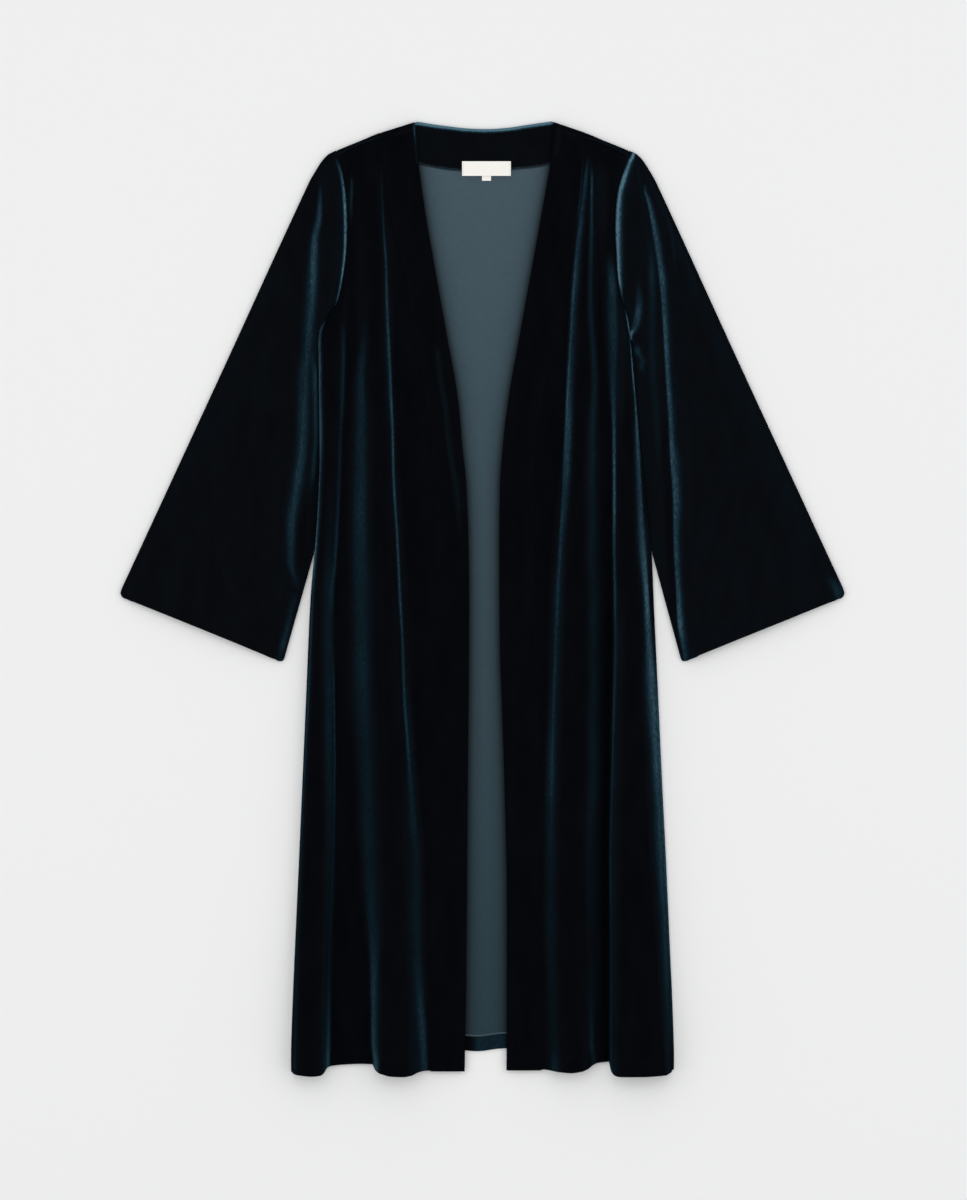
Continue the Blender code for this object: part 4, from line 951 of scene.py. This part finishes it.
PALE_THREAD = thread("pale_thread", (0.11, 0.165, 0.19))
x = np.linspace(-70, 70, 120)
row = joined(x, back_hem(x) + TURNUP_WIDTH + 2, 1.8)
stitches("coat_hem_stitches", row, 3.0, 1.9, 0.9, PALE_THREAD, lean=0.8)


# Neck seam allowance, label and tab.
# The band's seam round the back neck is overlocked with navy thread. A white woven label is sewn
# over it, and a small folded tab hangs below; both are blank.

NAVY_THREAD = thread("navy_thread", (0.005, 0.014, 0.024))
x = np.linspace(-86, 86, 240)
allowance = joined(x, along(NECK_SEAM, x) - 1.4, 1.9)
stitches("coat_neck_overlock", allowance, 3.6, 0.9, 0.6, NAVY_THREAD, lean=1.35)


def woven(name, colour):
    """Satin-woven ribbon: fine ribs across and along, in the tone and in the bump."""
    mat, where = new_material(name, {"Roughness": 0.55})
    ribs = add_node(mat, "TexWave", {"Vector": where, "Scale": 520}, bands_direction="X")
    picks = add_node(mat, "TexWave", {"Vector": where, "Scale": 760}, bands_direction="Y")
    both = add_node(mat, "Math", {0: ribs, 1: picks}, "Value", operation="ADD")
    tone = add_ramp(mat, both, ((0, [c * 0.9 for c in colour]), (1, colour)))
    feed(mat, {"Base Color": tone, "Normal": add_bump(mat, both, 0.3, 0.0002)})
    return mat


WHITE_RIBBON = woven("white_ribbon", (0.90, 0.85, 0.79))


def ribbon_points(left, right, low, high, base, bulge):
    """A strip in plan from (left, low) to (right, high), its height base plus a bulge that is
    highest mid way and falls to nothing at the two sewn ends."""
    u = np.linspace(0, 1, 60)
    v = np.linspace(0, 1, 18)[:, None]
    z = base + bulge * np.sin(np.pi * u) ** 0.5 * (1 - 0.5 * v)
    return joined(left + (right - left) * u, low + (high - low) * v, z)


label = grid_cloth("coat_label", ribbon_points(-24.5, 34.0, 507.8, 525.3, 3.5, 0.5), 0.5,
                   WHITE_RIBBON, WHITE_RIBBON, bevel=0.15)
tab = grid_cloth("coat_label_tab", ribbon_points(-0.6, 10.2, 502.0, 512.5, 2.2, 0.4), 0.6,
                 WHITE_RIBBON, WHITE_RIBBON, bevel=0.15)
for piece, node, size in ((label, "label", (0.0585, 0.0175)), (tab, "label_tab", (0.011, 0.0105))):
    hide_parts(node)
    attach(piece, "root")

WHITE_THREAD = thread("white_thread", (0.72, 0.72, 0.70))
y = np.linspace(509, 524.5, 20)
for word, x in (("right", -23.2), ("left", 32.7)):
    row = stitches("coat_label_stitches_" + word, joined(x, y, 4.0), 1.5, 2.0, 0.35, WHITE_THREAD)


# Hem stitches of the fronts.
# The front hems are turned up 19 mm and caught with a dark teal thread that only just shows.

TEAL_THREAD = thread("teal_thread", (0.0026, 0.0045, 0.006))
for word, hem, rolls, start, end in (("right", HEM_RIGHT, ROLLS_RIGHT, -216, -66),
                                     ("left", HEM_LEFT, ROLLS_LEFT, 75, 216)):
    x = np.linspace(start, end, 300)
    y = along(hem, x) + HEM_TURN
    z = PLAIN_HEIGHT + folds(rolls, x, y) + VELVET_WALL / 2 - 0.35
    stitches("coat_hem_stitches_" + word, joined(x, y, z), 1.9, 3.2, 0.5, TEAL_THREAD)


# Camera, floor and light.
# The camera looks straight down from 8 m. The floor is plain and pale, with large soft lights high
# on both sides and a wide one overhead, so that the shadows stay short.

camera = add_object("camera", bpy.data.cameras.new("camera"), location=(0.0012, -0.0009, 8.0))
set_all(camera.data, lens=200, sensor_width=36, clip_end=60)
bpy.context.scene.camera = camera

floor_mesh = bpy.data.meshes.new("floor")
floor_mesh.from_pydata([(-12, -12, 0), (12, -12, 0), (12, 12, 0), (-12, 12, 0)], [], [(0, 1, 2, 3)])
floor = add_object("floor", floor_mesh)
paper, _ = new_material("pale_paper", {"Base Color": (0.815, 0.796, 0.786, 1), "Roughness": 0.9,
                                       "Specular IOR Level": 0.1})
floor_mesh.materials.append(paper)

world = bpy.data.worlds.new("studio")
world.use_nodes = True
feed(world, {"Color": (0.9, 0.93, 0.95, 1), "Strength": 0.91}, "Background")
bpy.context.scene.world = world
bpy.context.scene.view_settings.view_transform = "Standard"
for name, place, wide, tall, power in (
        ("light_left", (-2.6, 0.2, 3.2), 3.2, 2.2, 18),
        ("light_right", (2.6, 0.2, 3.2), 3.2, 2.2, 18),
        ("light_top", (0.0, 0.9, 4.2), 3.0, 2.4, 20)):
    lamp = bpy.data.lights.new(name, "AREA")
    set_all(lamp, shape="RECTANGLE", size=wide, size_y=tall, energy=power)
    aim = (-Vector(place)).to_track_quat("-Z", "Y").to_euler()
    add_object(name, lamp, location=place, rotation_euler=aim, visible_camera=False)

bpy.context.view_layer.update()
